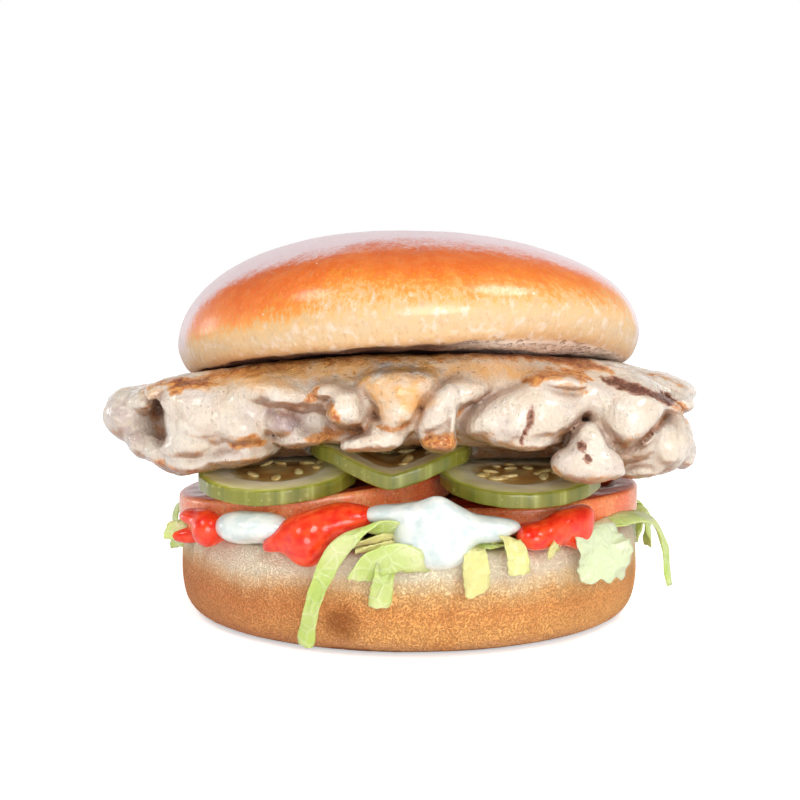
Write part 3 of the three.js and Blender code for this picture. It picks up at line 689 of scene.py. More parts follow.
def crust_finish(settings):
    finish = Finish("glossy_crust", Roughness=0.4, Coat_Weight=0.3, Coat_Roughness=0.22, Coat_IOR=2.0,
                    IOR=1.45, Specular_IOR_Level=0.3)
    height = finish.value("height")
    streak = finish.vector("streak")
    brush = noise(scaled(streak, (13, 13, 1.6)), 1, 6, 0.65, 0.6)
    broad = noise(scaled(streak, (2.4, 2.4, 1.2)), 1, 3)
    left = ease(finish.part(streak, 0), -0.15, -0.75, 0.0, 9.0)
    reach = plus(swing(brush, 2 * settings.streaks), swing(broad, 7))
    fine = noise(scaled(finish.place, (1, 1, 0.5)), 1.0, 5, 0.75)
    reach = plus(plus(left, reach), ease(fine, 0.32, 0.68, -5.0, 5.0))
    reach = times(reach, ease(height, 1, 11))
    level = plus(height, reach)
    level = calc("DIVIDE", level, CROWN_LIP + CROWN_RISE)
    finish.colour = ramp(level, [
        (0.0, 206, 158, 110), (0.05, 218, 182, 136), (0.11, settings.pale),
        (0.27, 216, 176, 122), (0.37, 224, 156, 76), (0.46, 228, 128, 18),
        (0.6, settings.baked), (1.0, 198, 80, 14),
    ])
    finish.paint(times(finish.mottle(3.5, 0.35, 0.7), 0.12), 255, 190, 110)
    finish.paint(ease(fine, 0.5, 0.7, 0.0, 0.3), 250, 190, 120)
    finish.paint(ease(fine, 0.5, 0.32, 0.0, 0.3), 190, 100, 40)
    cream = times(finish.mottle(2.2, 0.5, 0.7), ease(level, 0.36, 0.22, 0.0, 0.5))
    finish.paint(cream, 232, 214, 198)
    finish.paint(times(finish.specks(3.6, 0.07, 0.5), 0.55), 255, 238, 214)
    finish.paint(times(finish.specks(17, 0.035, 0.3), 0.8), 110, 50, 20)
    pores = finish.specks(1.3, 0.5, 0.8)
    crumb = mix(times(pores, 0.35), srgb(226, 204, 186), srgb(182, 140, 112))
    across = finish.part(finish.place, 0)
    # Painted shade: the crumb of the underside turns dark brown towards the left, where it lies in the
    # shade over the meat.
    crumb = mix(ease(across, 22, 4), crumb, srgb(96, 62, 44))
    cut = finish.value("cut")
    # Painted reflection: the crust's colour is whitened near its outline, where it turns away from the
    # view, like gloss that mirrors white surroundings.
    facing = put(finish.tree, "ShaderNodeLayerWeight", {"Blend": 0.5}).outputs["Facing"]
    facing = plus(facing, swing(brush, 0.08))
    facing = plus(facing, ease(fine, 0.3, 0.7, -0.035, 0.035))
    facing = plus(facing, times(left, 0.01))
    sheen = times(ease(facing, 0.74, 0.88, 0.0, 0.85), ease(height, 1, 7))
    finish.paint(sheen, 228, 214, 220)
    rough = plus(ease(level, 0.2, 0.5, 0.46, 0.30), times(brush, 0.14))
    finish.set("Roughness", calc("MAXIMUM", rough, times(cut, 0.85)))
    finish.set("Coat Weight", calc("MULTIPLY_ADD", cut, -0.35, 0.35))
    grain = noise(finish.place, 0.5, 4, 0.6)
    wrinkle = noise(scaled(streak, (50, 50, 12)), 1, 4, 0.65)
    height = plus(times(grain, 0.35), times(wrinkle, 0.9))
    height = minus(height, times(times(pores, cut), 2.0))
    return finish.done(mix(cut, finish.colour, crumb), plus(height, times(fine, 0.8)), 0.00028)


def crumb_finish(settings):
    finish = Finish("porous_crust", Roughness=0.75, IOR=1.4)
    height = finish.value("height")
    streak = finish.vector("streak")
    broad = noise(scaled(streak, (2.2, 2.2, 3)), 1, 3)
    wrinkle = noise(scaled(streak, (22, 22, 5)), 1, 4, 0.6)
    level = plus(height, plus(swing(broad, 6), swing(wrinkle, 3)))
    finish.colour = ramp(calc("DIVIDE", level, HEEL_HEIGHT), [
        (0.0, 178, 112, 62), (0.05, 232, 172, 114), (0.2, 246, 180, 104),
        (0.44, settings.side), (0.58, 244, 186, 118), (0.68, 250, 216, 164),
        (0.82, 254, 240, 210), (1.0, 255, 244, 218),
    ])
    # Painted shade: the side turns darker towards the left, away from the key light.
    left = ease(finish.part(finish.place, 0), 2, -46)
    left = times(left, ease(level, 18, 12, 0.1, 0.5))
    finish.paint(left, 200, 108, 66)
    finish.paint(times(finish.mottle(7, 0.5, 0.7), 0.35), 200, 118, 50)
    low = ease(level, 18, 11, 0.2, 1.0)
    grain = ease(noise(finish.place, 0.42, 3, 0.8), 0.42, 0.66)
    finish.paint(times(times(grain, low), 0.6), 176, 92, 40)
    flecks = ease(noise(scaled(finish.place, 1.31), 0.4, 2, 0.8), 0.6, 0.74)
    finish.paint(times(times(flecks, low), 0.8), 255, 226, 170)
    tears = finish.specks(6, 0.11, 0.35)
    finish.paint(times(times(tears, low), 0.5), 140, 74, 30)
    away = put(finish.tree, "ShaderNodeVectorMath", {0: finish.place, 1: SCORCHED_AT}, operation="DISTANCE")
    away = plus(away.outputs["Value"], times(broad, 3.0))
    away = plus(away, times(noise(finish.place, 1.6, 4, 0.7), 5.0))
    finish.paint(ease(away, 9.5, 5.0, 0.0, 0.75), 150, 76, 22)
    foot = plus(height, swing(wrinkle, 0.8))
    finish.paint(ease(foot, 1.3, 0.4, 0.0, 0.7), 124, 70, 34)
    finish.paint(finish.value("cut"), 246, 226, 196)
    bumps = plus(minus(times(flecks, 0.4), grain), times(wrinkle, 1.5))
    return finish.done(finish.colour, minus(bumps, times(tears, 1.2)), 0.0002)


# Chicken

MEAT_LOBES = [
    # left end: a tongue with a fold behind it, and the browned edge that runs on under the big lobe
    lobe((-65, -12, 48), (6.5, 13, 6.5)),
    lobe((-59.5, -14, 51.5), (6.5, 14, 3.5)),
    lobe((-61.5, -14, 42), (5.5, 12, 4), lean=42),
    lobe((-57.5, -8, 44.5), (8, 13, 8)),
    lobe((-55, -20, 39.5), (7, 12, 4), lean=32),
    lobe((-47.5, -29, 39.5), (7.5, 12, 3.5)),
    lobe((-38, -33, 42), (9.5, 12, 3.5), lean=-8),
    lobe((-44, -31, 49), (11.5, 15, 7.5), turn=10),
    lobe((-36.5, -37, 48), (6.5, 10, 5.5)),
    lobe((-46, -25, 55), (12, 15, 2), lean=-4),
    lobe((-47.5, -31.5, 43.5), (8.5, 12, 4.5), lean=-4),
    # middle: a sheet with gristle under it, a nugget, a flap, and a rolled lobe with a browned tip
    lobe((-27, -41, 55), (10, 9, 3.5), lean=12),
    lobe((-27.5, -42, 49), (4.5, 6.5, 3.5), lean=20),
    lobe((-23.5, -39, 45.5), (6.5, 8, 2.5), lean=-6),
    lobe((-13.5, -48.5, 52.5), (4.5, 6, 4.5)),
    lobe((-16, -50.5, 51.5), (2, 4.5, 3)),
    lobe((-15.5, -46, 56), (6, 8, 2), lean=5),
    lobe((-8, -48, 46), (7, 7, 2.5), lean=-3),
    lobe((-12, -49, 45.5), (3, 5.5, 1.5)),
    lobe((-2.5, -44, 56.5), (10, 10, 5)),
    lobe((-2.5, -47, 52.5), (5.5, 7, 4.5)),
    lobe((5.5, -49, 52.5), (3.5, 7, 7), lean=35),
    lobe((6, -50, 46), (4, 6, 2.5)),
    lobe((8.5, -50, 49.5), (1.5, 4.5, 4), lean=6),
    # right end: a wedge with a browned ridge, a hanging finger, and two lobes with a slash between them
    lobe((26, -41, 51), (12, 13, 7.5)),
    lobe((16.5, -44, 50), (6, 9, 3.5), lean=-22),
    lobe((24, -43, 46), (10, 9, 2.5), lean=5),
    lobe((31.5, -39, 58), (8, 11, 2), lean=6),
    lobe((36.5, -48, 40.5), (7, 7, 4), lean=8),
    lobe((37.5, -46, 45.5), (4, 7.5, 4.5)),
    lobe((41, -47, 41.5), (5, 6.5, 3), lean=30),
    lobe((47, -28, 46), (12.5, 14, 8.5)),
    lobe((47, -37, 50), (8, 13, 9), lean=48),
    lobe((50.5, -34, 53.5), (9.5, 12, 2.5), lean=14),
    lobe((56.5, -25, 42.5), (6.5, 14, 8), lean=42),
    lobe((52, -28, 38), (6.5, 10, 3), lean=-10),
    lobe((62.5, -20, 40), (3, 9, 4.5)),
    lobe((58, -8, 54), (10, 15, 3.5), lean=10),
    lobe((61, -16, 51.5), (4.5, 12, 2.5), lean=20),
    # the sheet of meat that slopes from under the top bun down to the lobes, then fillings between lobes
    lobe((-37, -33, 54.5), (22, 12.5, 4.5), tip=14),
    lobe((-6, -37.5, 56.5), (24, 12.5, 5), tip=18),
    lobe((31, -34, 55), (25, 12.5, 5.5), tip=14),
    lobe((-2.5, -41, 57), (11, 11.5, 4.2), tip=16),
    lobe((-28, -36, 57), (13, 12, 4), tip=12),
    lobe((9, -41, 56.8), (9, 11, 4), tip=14),
    lobe((22, -42.5, 48.5), (10.5, 11.5, 4.8)),
    lobe((-5, -46.5, 48.6), (6.5, 7, 2.8), lean=-5),
]
MEAT_HOLLOWS = [
    lobe((-56.5, -31, 48.5), (1.3, 13, 4.5), lean=-8),
    lobe((-17.5, -52, 46.5), (4, 8, 2), lean=-12),
    lobe((-9.5, -54, 53.5), (1, 5, 2)),
    lobe((10.5, -56, 49.5), (1, 7, 3.5)),
    lobe((-23.5, -52, 52), (2, 5, 1)),
]

# Marks on the front of the meat, as routes on the front view. The view is the camera's,
# so a route is followed straight back onto the meat. After the route come its half width in millimetres
# and its depth in millimetres for a crease, or its half width on the view and its strength for a colour.
CREASES = [
    ([(165, 388), (157, 402), (156, 420), (161, 438), (168, 448)], 1.3, 1.5),
    ([(160, 446), (190, 457), (215, 453), (245, 453), (290, 444)], 1.1, 0.6),
    ([(258, 388), (266, 405), (274, 425), (280, 442)], 1.3, 0.7),
    ([(268, 408), (284, 407), (296, 414), (300, 428)], 0.9, 0.6),
    ([(276, 416), (286, 416), (291, 425)], 0.7, 0.5),
    ([(294, 398), (310, 410), (324, 408), (332, 394), (345, 389), (360, 390), (370, 400)], 1.0, 0.8),
    ([(322, 412), (332, 428), (350, 434), (366, 430), (376, 416)], 1.0, 1.2),
    ([(370, 396), (375, 415), (382, 428), (400, 430), (416, 422)], 0.9, 1.0),
    ([(462, 368), (440, 384), (424, 402), (415, 424), (418, 438)], 0.9, 0.8),
    ([(458, 414), (475, 400), (500, 393), (530, 380)], 1.0, 1.0),
    ([(447, 402), (449, 420), (445, 434)], 0.6, 0.5),
    ([(420, 434), (432, 437), (446, 434), (460, 438)], 0.7, 0.5),
    ([(596, 396), (588, 414), (573, 428), (560, 441), (545, 450)], 1.1, 1.3),
    ([(598, 424), (612, 434), (625, 450), (630, 462)], 1.0, 0.9),
    ([(670, 408), (656, 428), (640, 442), (622, 460)], 0.8, 1.5),
    ([(684, 402), (664, 396), (640, 391), (606, 378)], 1.0, 0.6),
    ([(533, 402), (530, 420), (522, 444)], 0.6, 1.1),
    ([(478, 440), (500, 434), (530, 440), (560, 436)], 1.0, 0.4),
    ([(612, 470), (640, 462), (668, 470)], 0.9, 0.5),
]
BROWNED = [
    ([(160, 385), (182, 383), (212, 379), (243, 372)], 5, 1.0),
    ([(168, 392), (181, 388)], 3, 0.8),
    ([(140, 386), (158, 383)], 2.5, 0.6),
    ([(232, 443), (262, 440)], 5, 1.0),
    ([(150, 460), (166, 471), (192, 477), (216, 472)], 5, 0.9),
    ([(216, 471), (250, 464), (286, 456)], 3, 0.6),
    ([(303, 402), (312, 394), (320, 390)], 4, 0.9),
    ([(329, 401), (332, 413), (338, 421)], 5, 1.0),
    ([(342, 428), (360, 431), (368, 424)], 3, 0.7),
    ([(353, 374), (355, 375)], 3, 0.9),
    # Painted shade: the next route darkens the hollow under the fold.
    ([(308, 441), (325, 437), (343, 432)], 6, 0.75),
    ([(343, 450), (365, 453), (395, 450), (414, 446)], 3.5, 0.8),
    ([(378, 427), (392, 431), (410, 426)], 2.5, 0.9),
    ([(424, 441), (440, 445), (457, 440)], 8, 1.0),
    ([(461, 408), (459, 420)], 2, 0.7),
    ([(524, 382), (545, 375), (575, 373), (590, 380)], 5, 1.0),
    ([(560, 386), (588, 391)], 5, 0.5),
    ([(486, 442), (516, 450)], 2.5, 0.5),
    ([(672, 404), (686, 409), (690, 421)], 3.5, 0.8),
    ([(669, 410), (655, 429), (640, 443)], 2.5, 0.7),
    ([(553, 469), (565, 481), (585, 486), (607, 478)], 3.5, 0.65),
    ([(648, 376), (672, 379), (686, 386)], 3.5, 0.6),
    # The next route is browning of the top, with painted shadow of the top bun that is darkest at the gap.
    ([(200, 378), (250, 368), (300, 360), (360, 354), (430, 350), (500, 350), (560, 358), (612, 372)],
     9, 0.8),
    # Painted shade: the next route darkens the groove at the left end.
    ([(152, 404), (157, 424), (160, 436)], 4, 0.5),
]
GOLDEN = [
    ([(372, 388), (400, 398), (425, 398)], 24, 0.9),
    ([(350, 377), (400, 372), (450, 370)], 12, 0.9),
    ([(270, 380), (300, 378), (330, 376)], 9, 0.7),
    ([(200, 384), (260, 376), (330, 372), (400, 368), (470, 368), (540, 374)], 12, 0.8),
    ([(140, 392), (160, 392)], 8, 0.4),
]
CHARRED = [
    # Painted shadow: the next two routes are the dark strip just under the top bun's edge.
    ([(470, 352), (520, 353), (560, 358), (604, 369)], 5, 0.55),
    ([(215, 372), (262, 364), (300, 360)], 4, 0.4),
    ([(604, 378), (625, 387), (650, 392), (676, 401)], 4.5, 1.0),
    ([(579, 444), (586, 448)], 4, 0.9),
    ([(586, 454), (591, 464)], 3.5, 0.95),
    # Painted shade: the next route is a dark crease line in the middle of the browned tip.
    ([(438, 437), (443, 447)], 2, 0.6),
    ([(656, 428), (640, 443)], 1.6, 0.8),
    ([(533, 404), (530, 420), (523, 443)], 1.7, 0.9),
    # Painted shadow: the next route is a dark line along the browned ridge, under the top bun's edge.
    ([(176, 384), (212, 379)], 2, 0.6),
]
GRISTLE = [
    ([(272, 412), (290, 424), (306, 430)], 13, 0.8),
    ([(112, 402), (120, 424), (140, 440)], 14, 0.5),
    ([(498, 425), (520, 434)], 10, 0.3),
]


def front_view(points):
    """Where points show on the front view, seen from the camera."""
    ahead = np.array([0, math.cos(VIEW_RISE), -math.sin(VIEW_RISE)])
    upward = np.array([0, math.sin(VIEW_RISE), math.cos(VIEW_RISE)])
    away = points - (np.array(VIEW_TARGET) - ahead * VIEW_DISTANCE)
    zoom = VIEW_LENS / SENSOR * VIEW_PIXELS / (away @ ahead)
    return VIEW_PIXELS / 2 + away[..., 0] * zoom, VIEW_PIXELS / 2 - (away @ upward) * zoom


def near_route(u, v, route):
    """The distance on the view from each point to a route, and how far along the route it is."""
    lengths = [math.dist(a, b) for a, b in zip(route, route[1:])]
    nearest = np.full(u.shape, FAR)
    along = np.zeros(u.shape)
    gone = 0
    for (ax, ay), (bx, by), length in zip(route, route[1:], lengths):
        t = np.clip(((u - ax) * (bx - ax) + (v - ay) * (by - ay)) / length ** 2, 0, 1)
        distance = np.hypot(u - ax - t * (bx - ax), v - ay - t * (by - ay))
        along = np.where(distance < nearest, (gone + t * length) / sum(lengths), along)
        nearest = np.minimum(nearest, distance)
        gone += length
    return nearest, along


def creases(points):
    """How deep the creases of the front are at each point."""
    u, v = front_view(points)
    deep = np.zeros(u.shape)
    for route, width, depth in CREASES:
        distance, along = near_route(u, v, route)
        taper = np.clip(4 * np.minimum(along, 1 - along), 0, 1) ** 0.7
        deep = np.maximum(deep, depth * taper * np.exp(-(distance * MM_A_PIXEL / width) ** 2))
    return deep * smoothstep(2, -12, points[..., 1])


def marked(points, marks):
    """How strongly the marks of one colour show at each point of the front, with uneven edges."""
    u, v = front_view(points)
    x, y, z = points.T
    u = u + 3 * unevenness(x, y, z, 1.6, 1) + 2 * unevenness(x, y, z, 0.7, 4)
    v = v + 3 * unevenness(x, y, z, 1.5, 5) + 2 * unevenness(x, y, z, 0.8, 2)
    strength = np.zeros(u.shape)
    for route, width, most in marks:
        distance, along = near_route(u, v, route)
        taper = np.clip(5 * np.minimum(along, 1 - along) + 0.35, 0, 1)
        strength = np.maximum(strength, most * smoothstep(1.9 * width, 0.2 * width, distance / taper))
    return strength * smoothstep(4, -8, y)


def rim_lobes():
    """The rim that the photo doesn't show: uneven lobes from the right end round the back to the left."""
    lobes = []
    count = 9
    for n in range(count):
        angle = math.radians(12 + 156 * n / (count - 1))
        odd = math.sin(5.3 * n + 1.1)
        far = 1 + 0.05 * math.sin(3.7 * n)
        x = 54 * far * math.cos(angle)
        y = 42 * far * math.sin(angle)
        z = 45.5 - 0.06 * y + 1.2 * math.sin(2.9 * n + 0.4)
        half = (11 + 3 * odd, 9.5 - 1.5 * odd, 8.2 + 1.2 * odd)
        lobes.append(lobe((x, y, z), half, turn=math.degrees(angle) + 90))
    return lobes


def fillet_slab(x, y, z):
    sunk = 1.2 * smoothstep(-26, -12, y) - 1.6 * smoothstep(-20, -34, y)
    middle = FILLET_SEAT - FILLET_TILT * y - sunk
    half = FILLET_HALF - 0.035 * y + sunk
    k0 = np.hypot(x / FILLET_HALF_WIDTH, y / FILLET_HALF_DEPTH)
    k1 = np.hypot(x / FILLET_HALF_WIDTH ** 2, y / FILLET_HALF_DEPTH ** 2) + 1e-9
    side = k0 * (k0 - 1) / k1
    up = np.abs(z - middle) - half
    outside = np.hypot(np.maximum(side, 0), np.maximum(up, 0))
    return np.minimum(np.maximum(side, up), 0) + outside - FILLET_ROUND


def top_of_layers_below(x, y):
    top = np.full(x.shape, 32.0)
    discs = [(at, PICKLE_RADIUS, height) for _, at, height in PICKLES]
    discs += [(at, radius, height) for _, at, radius, height, _ in TOMATOES]
    for at, radius, height in discs:
        near = np.hypot(x - at[0], y - at[1]) < radius + 1.5
        top = np.where(near, np.maximum(top, height(x, y)), top)
    return top


def cracks(x, y, z):
    """Fine cracks between the fibres, in some areas only."""
    line = np.abs(unevenness(x, y, 0.6 * z, 2.1, 8))
    area = smoothstep(-0.1, 0.4, unevenness(x, y, z, 9, 5))
    return area * smoothstep(0.13, 0.0, line)


def meat_field(points):
    x, y, z = np.moveaxis(points, -1, 0)
    lobes = blend_lobes(points, MEAT_LOBES + rim_lobes(), MEAT_BLEND)
    near = blend(fillet_slab(x, y, z), lobes, 3)
    near = carve(near, blend_lobes(points, MEAT_HOLLOWS, 1), 1.5)
    skin_near = np.abs(near) < 4
    near[skin_near] += creases(points[skin_near])
    near = near + 0.3 * unevenness(x, y, z, 3.4, 2) + 0.16 * unevenness(x, y, z, 1.7, 6)
    near = near + 0.5 * cracks(x, y, z)
    near = carve(near, crown_underside(x, y) - 0.5 - z, 1.5)
    return carve(near, z - top_of_layers_below(x, y) - 0.6, 1)


def chicken_piece(settings, finish):
    cell = settings.cell
    points, faces = skin(meat_field, *MEAT_BOX, cell)
    points = smoothed(points, faces, 1)
    normals = normals_of(points, faces)
    # fold is high in the hollows between lobes, and is used for painted shade there.
    fold = np.clip((2.5 - meat_field(points + 2.5 * normals)) / 2, 0, 1)
    hidden = smoothstep(-8, 6, points[:, 1])
    ridge = smoothstep(47, 55, points[:, 2]) * smoothstep(0.0, 0.6, normals[:, 2])
    under = smoothstep(-0.35, -0.9, normals[:, 2])
    seared = 0.85 * hidden * smoothstep(-0.05, 0.3, unevenness(*points.T, 15, 5))
    seared = np.maximum(seared, np.maximum(0.7 * hidden * ridge, 0.55 * under))
    values = {
        "browned": np.maximum(marked(points, BROWNED), seared),
        "golden": np.maximum(marked(points, GOLDEN), 0.5 * hidden * smoothstep(0.5, -0.2, normals[:, 2])),
        "charred": np.maximum(marked(points, CHARRED),
                              0.6 * hidden * ridge * (np.abs(np.sin(points[:, 0] / 5.5)) < 0.2)),
        "gristle": np.maximum(marked(points, GRISTLE), 0.4 * hidden * (unevenness(*points.T, 9, 3) > 0.2)),
        # Painted shade: the creases and fine cracks are darkened by this value.
        "crack": np.clip(creases(points) / 1.2 + 0.5 * cracks(*points.T), 0, 1),
        "fold": fold,
    }
    piece = make_object("grilled_thigh", points, faces, values)
    relief(piece, finish, settings.relief, 0.0028, 0.00022, 0.0011, (1.4, 0.8, 0.4))
    return piece


def meat_finish(settings):
    finish = Finish("grilled_meat", Roughness=0.35, Coat_Weight=0.8, Coat_Roughness=0.06, IOR=1.42,
                    Subsurface_Weight=0.12, Subsurface_Scale=0.002, Subsurface_Radius=(1.0, 0.55, 0.4))
    fibres = noise(scaled(finish.place, (1.3, 0.8, 0.28)), 1, 4, 0.6)
    finish.colour = mix(finish.mottle(6, 0.3, 0.7), tuple(settings.flesh), srgb(242, 230, 214))
    finish.paint(times(finish.mottle(9, 0.45, 0.7), 0.4), 216, 196, 190)
    finish.paint(ease(fibres, 0.48, 0.28, 0.0, 0.22), 196, 166, 148)
    finish.paint(times(finish.value("gristle"), finish.mottle(2.5, 0.3, 0.6)), 182, 156, 158)
    finish.paint(times(finish.value("golden"), finish.mottle(4, 0.2, 0.65)), 244, 176, 84)
    # Painted shade in the hollows between lobes.
    finish.paint(ease(finish.value("fold"), 0.5, 1.0, 0.0, 0.36), 184, 130, 92)
    patches = noise(finish.place, 2.4, 6, 0.7)
    spread = plus(finish.value("browned"), swing(patches, 1.6))
    finish.paint(ease(spread, 0.1, 0.7, 0.0, 0.8), 228, 156, 76)
    browns = ramp(noise(finish.place, 1.3, 5, 0.65), [
        (0.3, 104, 46, 16), (0.42, settings.brown), (0.58, 232, 160, 78)])
    finish.colour = mix(ease(spread, 0.4, 1.1), finish.colour, browns)
    # Painted shade in the creases and fine cracks.
    finish.paint(times(finish.value("crack"), 0.5), 150, 92, 72)
    charred = finish.value("charred")
    char = ease(plus(charred, swing(noise(finish.place, 0.9, 4, 0.7), 2.2)), 0.35, 1.0)
    finish.paint(ease(plus(charred, swing(patches, 1.2)), 0.15, 0.6, 0.0, 0.75), 168, 92, 44)
    finish.paint(times(char, 0.85), 88, 40, 30)
    finish.paint(times(finish.specks(3.4, 0.05, 0.4), 0.7), 90, 60, 44)
    # Painted shade: the faces that look down are darkened.
    facing = finish.part(put(finish.tree, "ShaderNodeNewGeometry").outputs["Normal"], 2)
    finish.paint(ease(facing, -0.45, -0.85, 0.0, 0.65), 120, 74, 48)
    finish.set("Roughness", ease(noise(finish.place, 4, 3), 0.35, 0.65, 0.24, 0.5))
    finish.set("Coat Weight", calc("MULTIPLY_ADD", char, -0.7, 0.8))
    pits = finish.specks(1.1, 0.35, 0.45)
    height = plus(times(fibres, 0.5), noise(finish.place, 1.0, 5, 0.7))
    return finish.done(finish.colour, minus(height, times(pits, 0.35)), 0.0008)


# Tomato and gherkin slices

TOMATOES = [
    ("tomato_left", (-22, -11), 32, lambda x, y: 29.8 + 0.095 * (x + 54), None),
    ("tomato_right", (27.5, -14), 25.5, lambda x, y: 28.1 + 0.085 * (x - 2), None),
    ("tomato_back", (4, 24), 28, lambda x, y: 32.4 - 0.05 * (y - 24), 1.5),
]


def middle_pickle_top(x, y):
    fold = np.minimum(13, np.hypot(x + 4.4, 2)) - 2
    return 38.2 + 0.1 * np.minimum(18, y + 46) + np.where(x < -4.4, 0.4, 0.3) * fold


PICKLES = [
    ("pickle_left", (-29.6, -30),
     lambda x, y: 34.7 + 0.14 * np.minimum(20, y + 48) + 0.06 * np.maximum(0, x + 34)),
    ("pickle_right", (24.5, -30),
     lambda x, y: 34.2 + 0.15 * np.minimum(20, y + 48) + 0.9 * ((x - 24) / 18) ** 2),
    ("pickle_middle", (-4.4, -28.5), middle_pickle_top),
    ("pickle_back_left", (-24, 31), lambda x, y: 38.2 - 0.07 * (y - 14)),
    ("pickle_back_right", (17, 33), lambda x, y: 37.4 - 0.08 * (y - 14)),
]


def slice_shape(radius, thickness, corner, steps, rings):
    """A round slice with its top at zero height, as points and faces."""
    t = thickness
    rim = [[radius - corner, -t], [radius - 0.3 * corner, -t + 0.25 * corner], [radius, -t + corner],
           [radius, -corner], [radius - 0.3 * corner, -0.25 * corner], [radius - corner, 0]]
    under = np.stack([np.linspace(0, radius - corner, rings), np.full(rings, -t)], axis=1)
    over = under[::-1] * (1, 0)
    profile = np.concatenate([under[:-1], smooth_curve(rim, 18), over[1:]])
    return revolve(profile, steps)


def tomato_piece(number, finish):
    name, at, radius, top, cut = TOMATOES[number]
    points, faces = slice_shape(radius, TOMATO_THICKNESS, 1.1, 180, 46)
    x, y, z = points.T
    angle = np.arctan2(y, x)
    wobble = 1 + 0.012 * unevenness(x, y, 0, 12, radius)
    ring = np.hypot(x, y) / radius
    chambers = 0.5 + 0.5 * np.cos(6 * angle + number + 0.5 * np.sin(3 * angle))
    flat = smoothstep(0.97, 0.9, ring)
    gel = flat * smoothstep(0.25, 0.4, ring) * smoothstep(0.82, 0.72, ring)
    gel = gel * smoothstep(0.25, 0.5, chambers)
    face = np.where(z > -TOMATO_THICKNESS / 2, 1, -1)
    z = z - face * 0.9 * gel + face * 0.12 * flat * unevenness(x, y, 0, 1.6, number)
    x = at[0] + x * wobble
    y = at[1] + y * wobble
    if cut is not None:
        y = np.maximum(y, at[1] + cut)
    points = np.stack([x, y, z + top(x, y)], axis=1)
    rim = smoothstep(0.955, 0.985, ring)
    streak = round_axis(angle, ring)
    piece = make_object(name + "_slice", points, faces, {"gel": gel, "rim": rim, "streak": streak})
    relief(piece, finish, 0.0001, 0.006, 0.00003, 0.001)
    return piece


def tomato_finish(settings):
    finish = Finish("tomato_flesh", Roughness=0.25, Coat_Weight=0.4, Coat_Roughness=0.08, IOR=1.4,
                    Subsurface_Weight=0.5, Subsurface_Scale=0.007, Subsurface_Radius=(1.0, 0.3, 0.12))
    streak = finish.vector("streak")
    bands = noise(scaled(streak, (4, 4, 1)), 1, 2)
    skin_colour = ramp(bands, [
        (0.25, 246, 112, 62), (0.5, settings.tomato), (0.75, 255, 178, 128)])
    skin_colour = mix(times(finish.specks(0.62, 0.36, 0.6), 0.6), skin_colour, srgb(252, 206, 140))
    skin_colour = mix(times(finish.mottle(0.7, 0.5, 0.62), 0.3), skin_colour, srgb(190, 66, 34))
    flesh = mix(finish.mottle(2.4, 0.35, 0.65), srgb(206, 66, 28), srgb(226, 104, 62))
    flesh = mix(finish.value("gel"), flesh, srgb(150, 32, 8))
    colour = mix(finish.value("rim"), flesh, skin_colour)
    return finish.done(colour, noise(finish.place, 0.7, 4, 0.6), 0.00012)


def seed_shape():
    """A small pointed seed, lying along X, half sunk below its middle."""
    length, width, height = SEED_SIZE
    profile = [[0, -length / 2], [width * 0.36, -length * 0.36], [width / 2, 0.02 * length],
               [width * 0.34, length * 0.33], [0, length / 2]]
    points, faces = revolve(smooth_curve(profile, 7) * ((1, 1),), 8)
    points = points[:, [2, 0, 1]] * (1, 1, height / width)
    points[:, 2] += 0.12 * height
    return make_object("seed", points, faces)


def pickle_piece(number, settings, finish, seed_finish, seed):
    name, at, top = PICKLES[number]
    points, faces = slice_shape(PICKLE_RADIUS, PICKLE_THICKNESS, 0.5, 150, 40)
    x, y, z = points.T
    angle = np.arctan2(y, x)
    radius = np.hypot(x, y)
    ring = radius / PICKLE_RADIUS
    wobble = 1 + 0.015 * unevenness(x, y, 0, 9, at[0]) + 0.006 * np.sin(17 * angle + number)
    face = np.where(z > -PICKLE_THICKNESS / 2, 1, -1)
    flat = smoothstep(0.985, 0.95, ring)
    core = flat * smoothstep(0.62, 0.5, ring)
    z = z - face * (0.45 * core + 0.10 * flat * unevenness(x, y, 0, 1.5, number))
    x = at[0] + x * wobble
    y = at[1] + y * wobble
    points = np.stack([x, y, z + top(x, y)], axis=1)
    petals = 0.5 + 0.5 * np.cos(3 * angle + number)
    seeded = core * smoothstep(0.12, 0.22, ring) * (face > 0) * smoothstep(0.1, 0.35, petals)
    rim = smoothstep(0.968, 0.99, ring)
    streak = round_axis(angle, ring)
    piece = make_object(name + "_slice", points, faces, {
        "seeded": seeded, "rim": rim, "streak": streak, "ring": ring})
    relief(piece, finish, 0.00008, 0.004, 0.00003, 0.0008)
    area = math.pi * (0.6 * PICKLE_RADIUS * MM) ** 2
    apply_nodes(piece, "Scatter", Thing=seed, Density=settings.seeds / area, Spacing=SEED_SPACING,
                Seed=SEED_DRAW + number, Smallest=0.75, Tip=0.25, Material=seed_finish)
    return piece


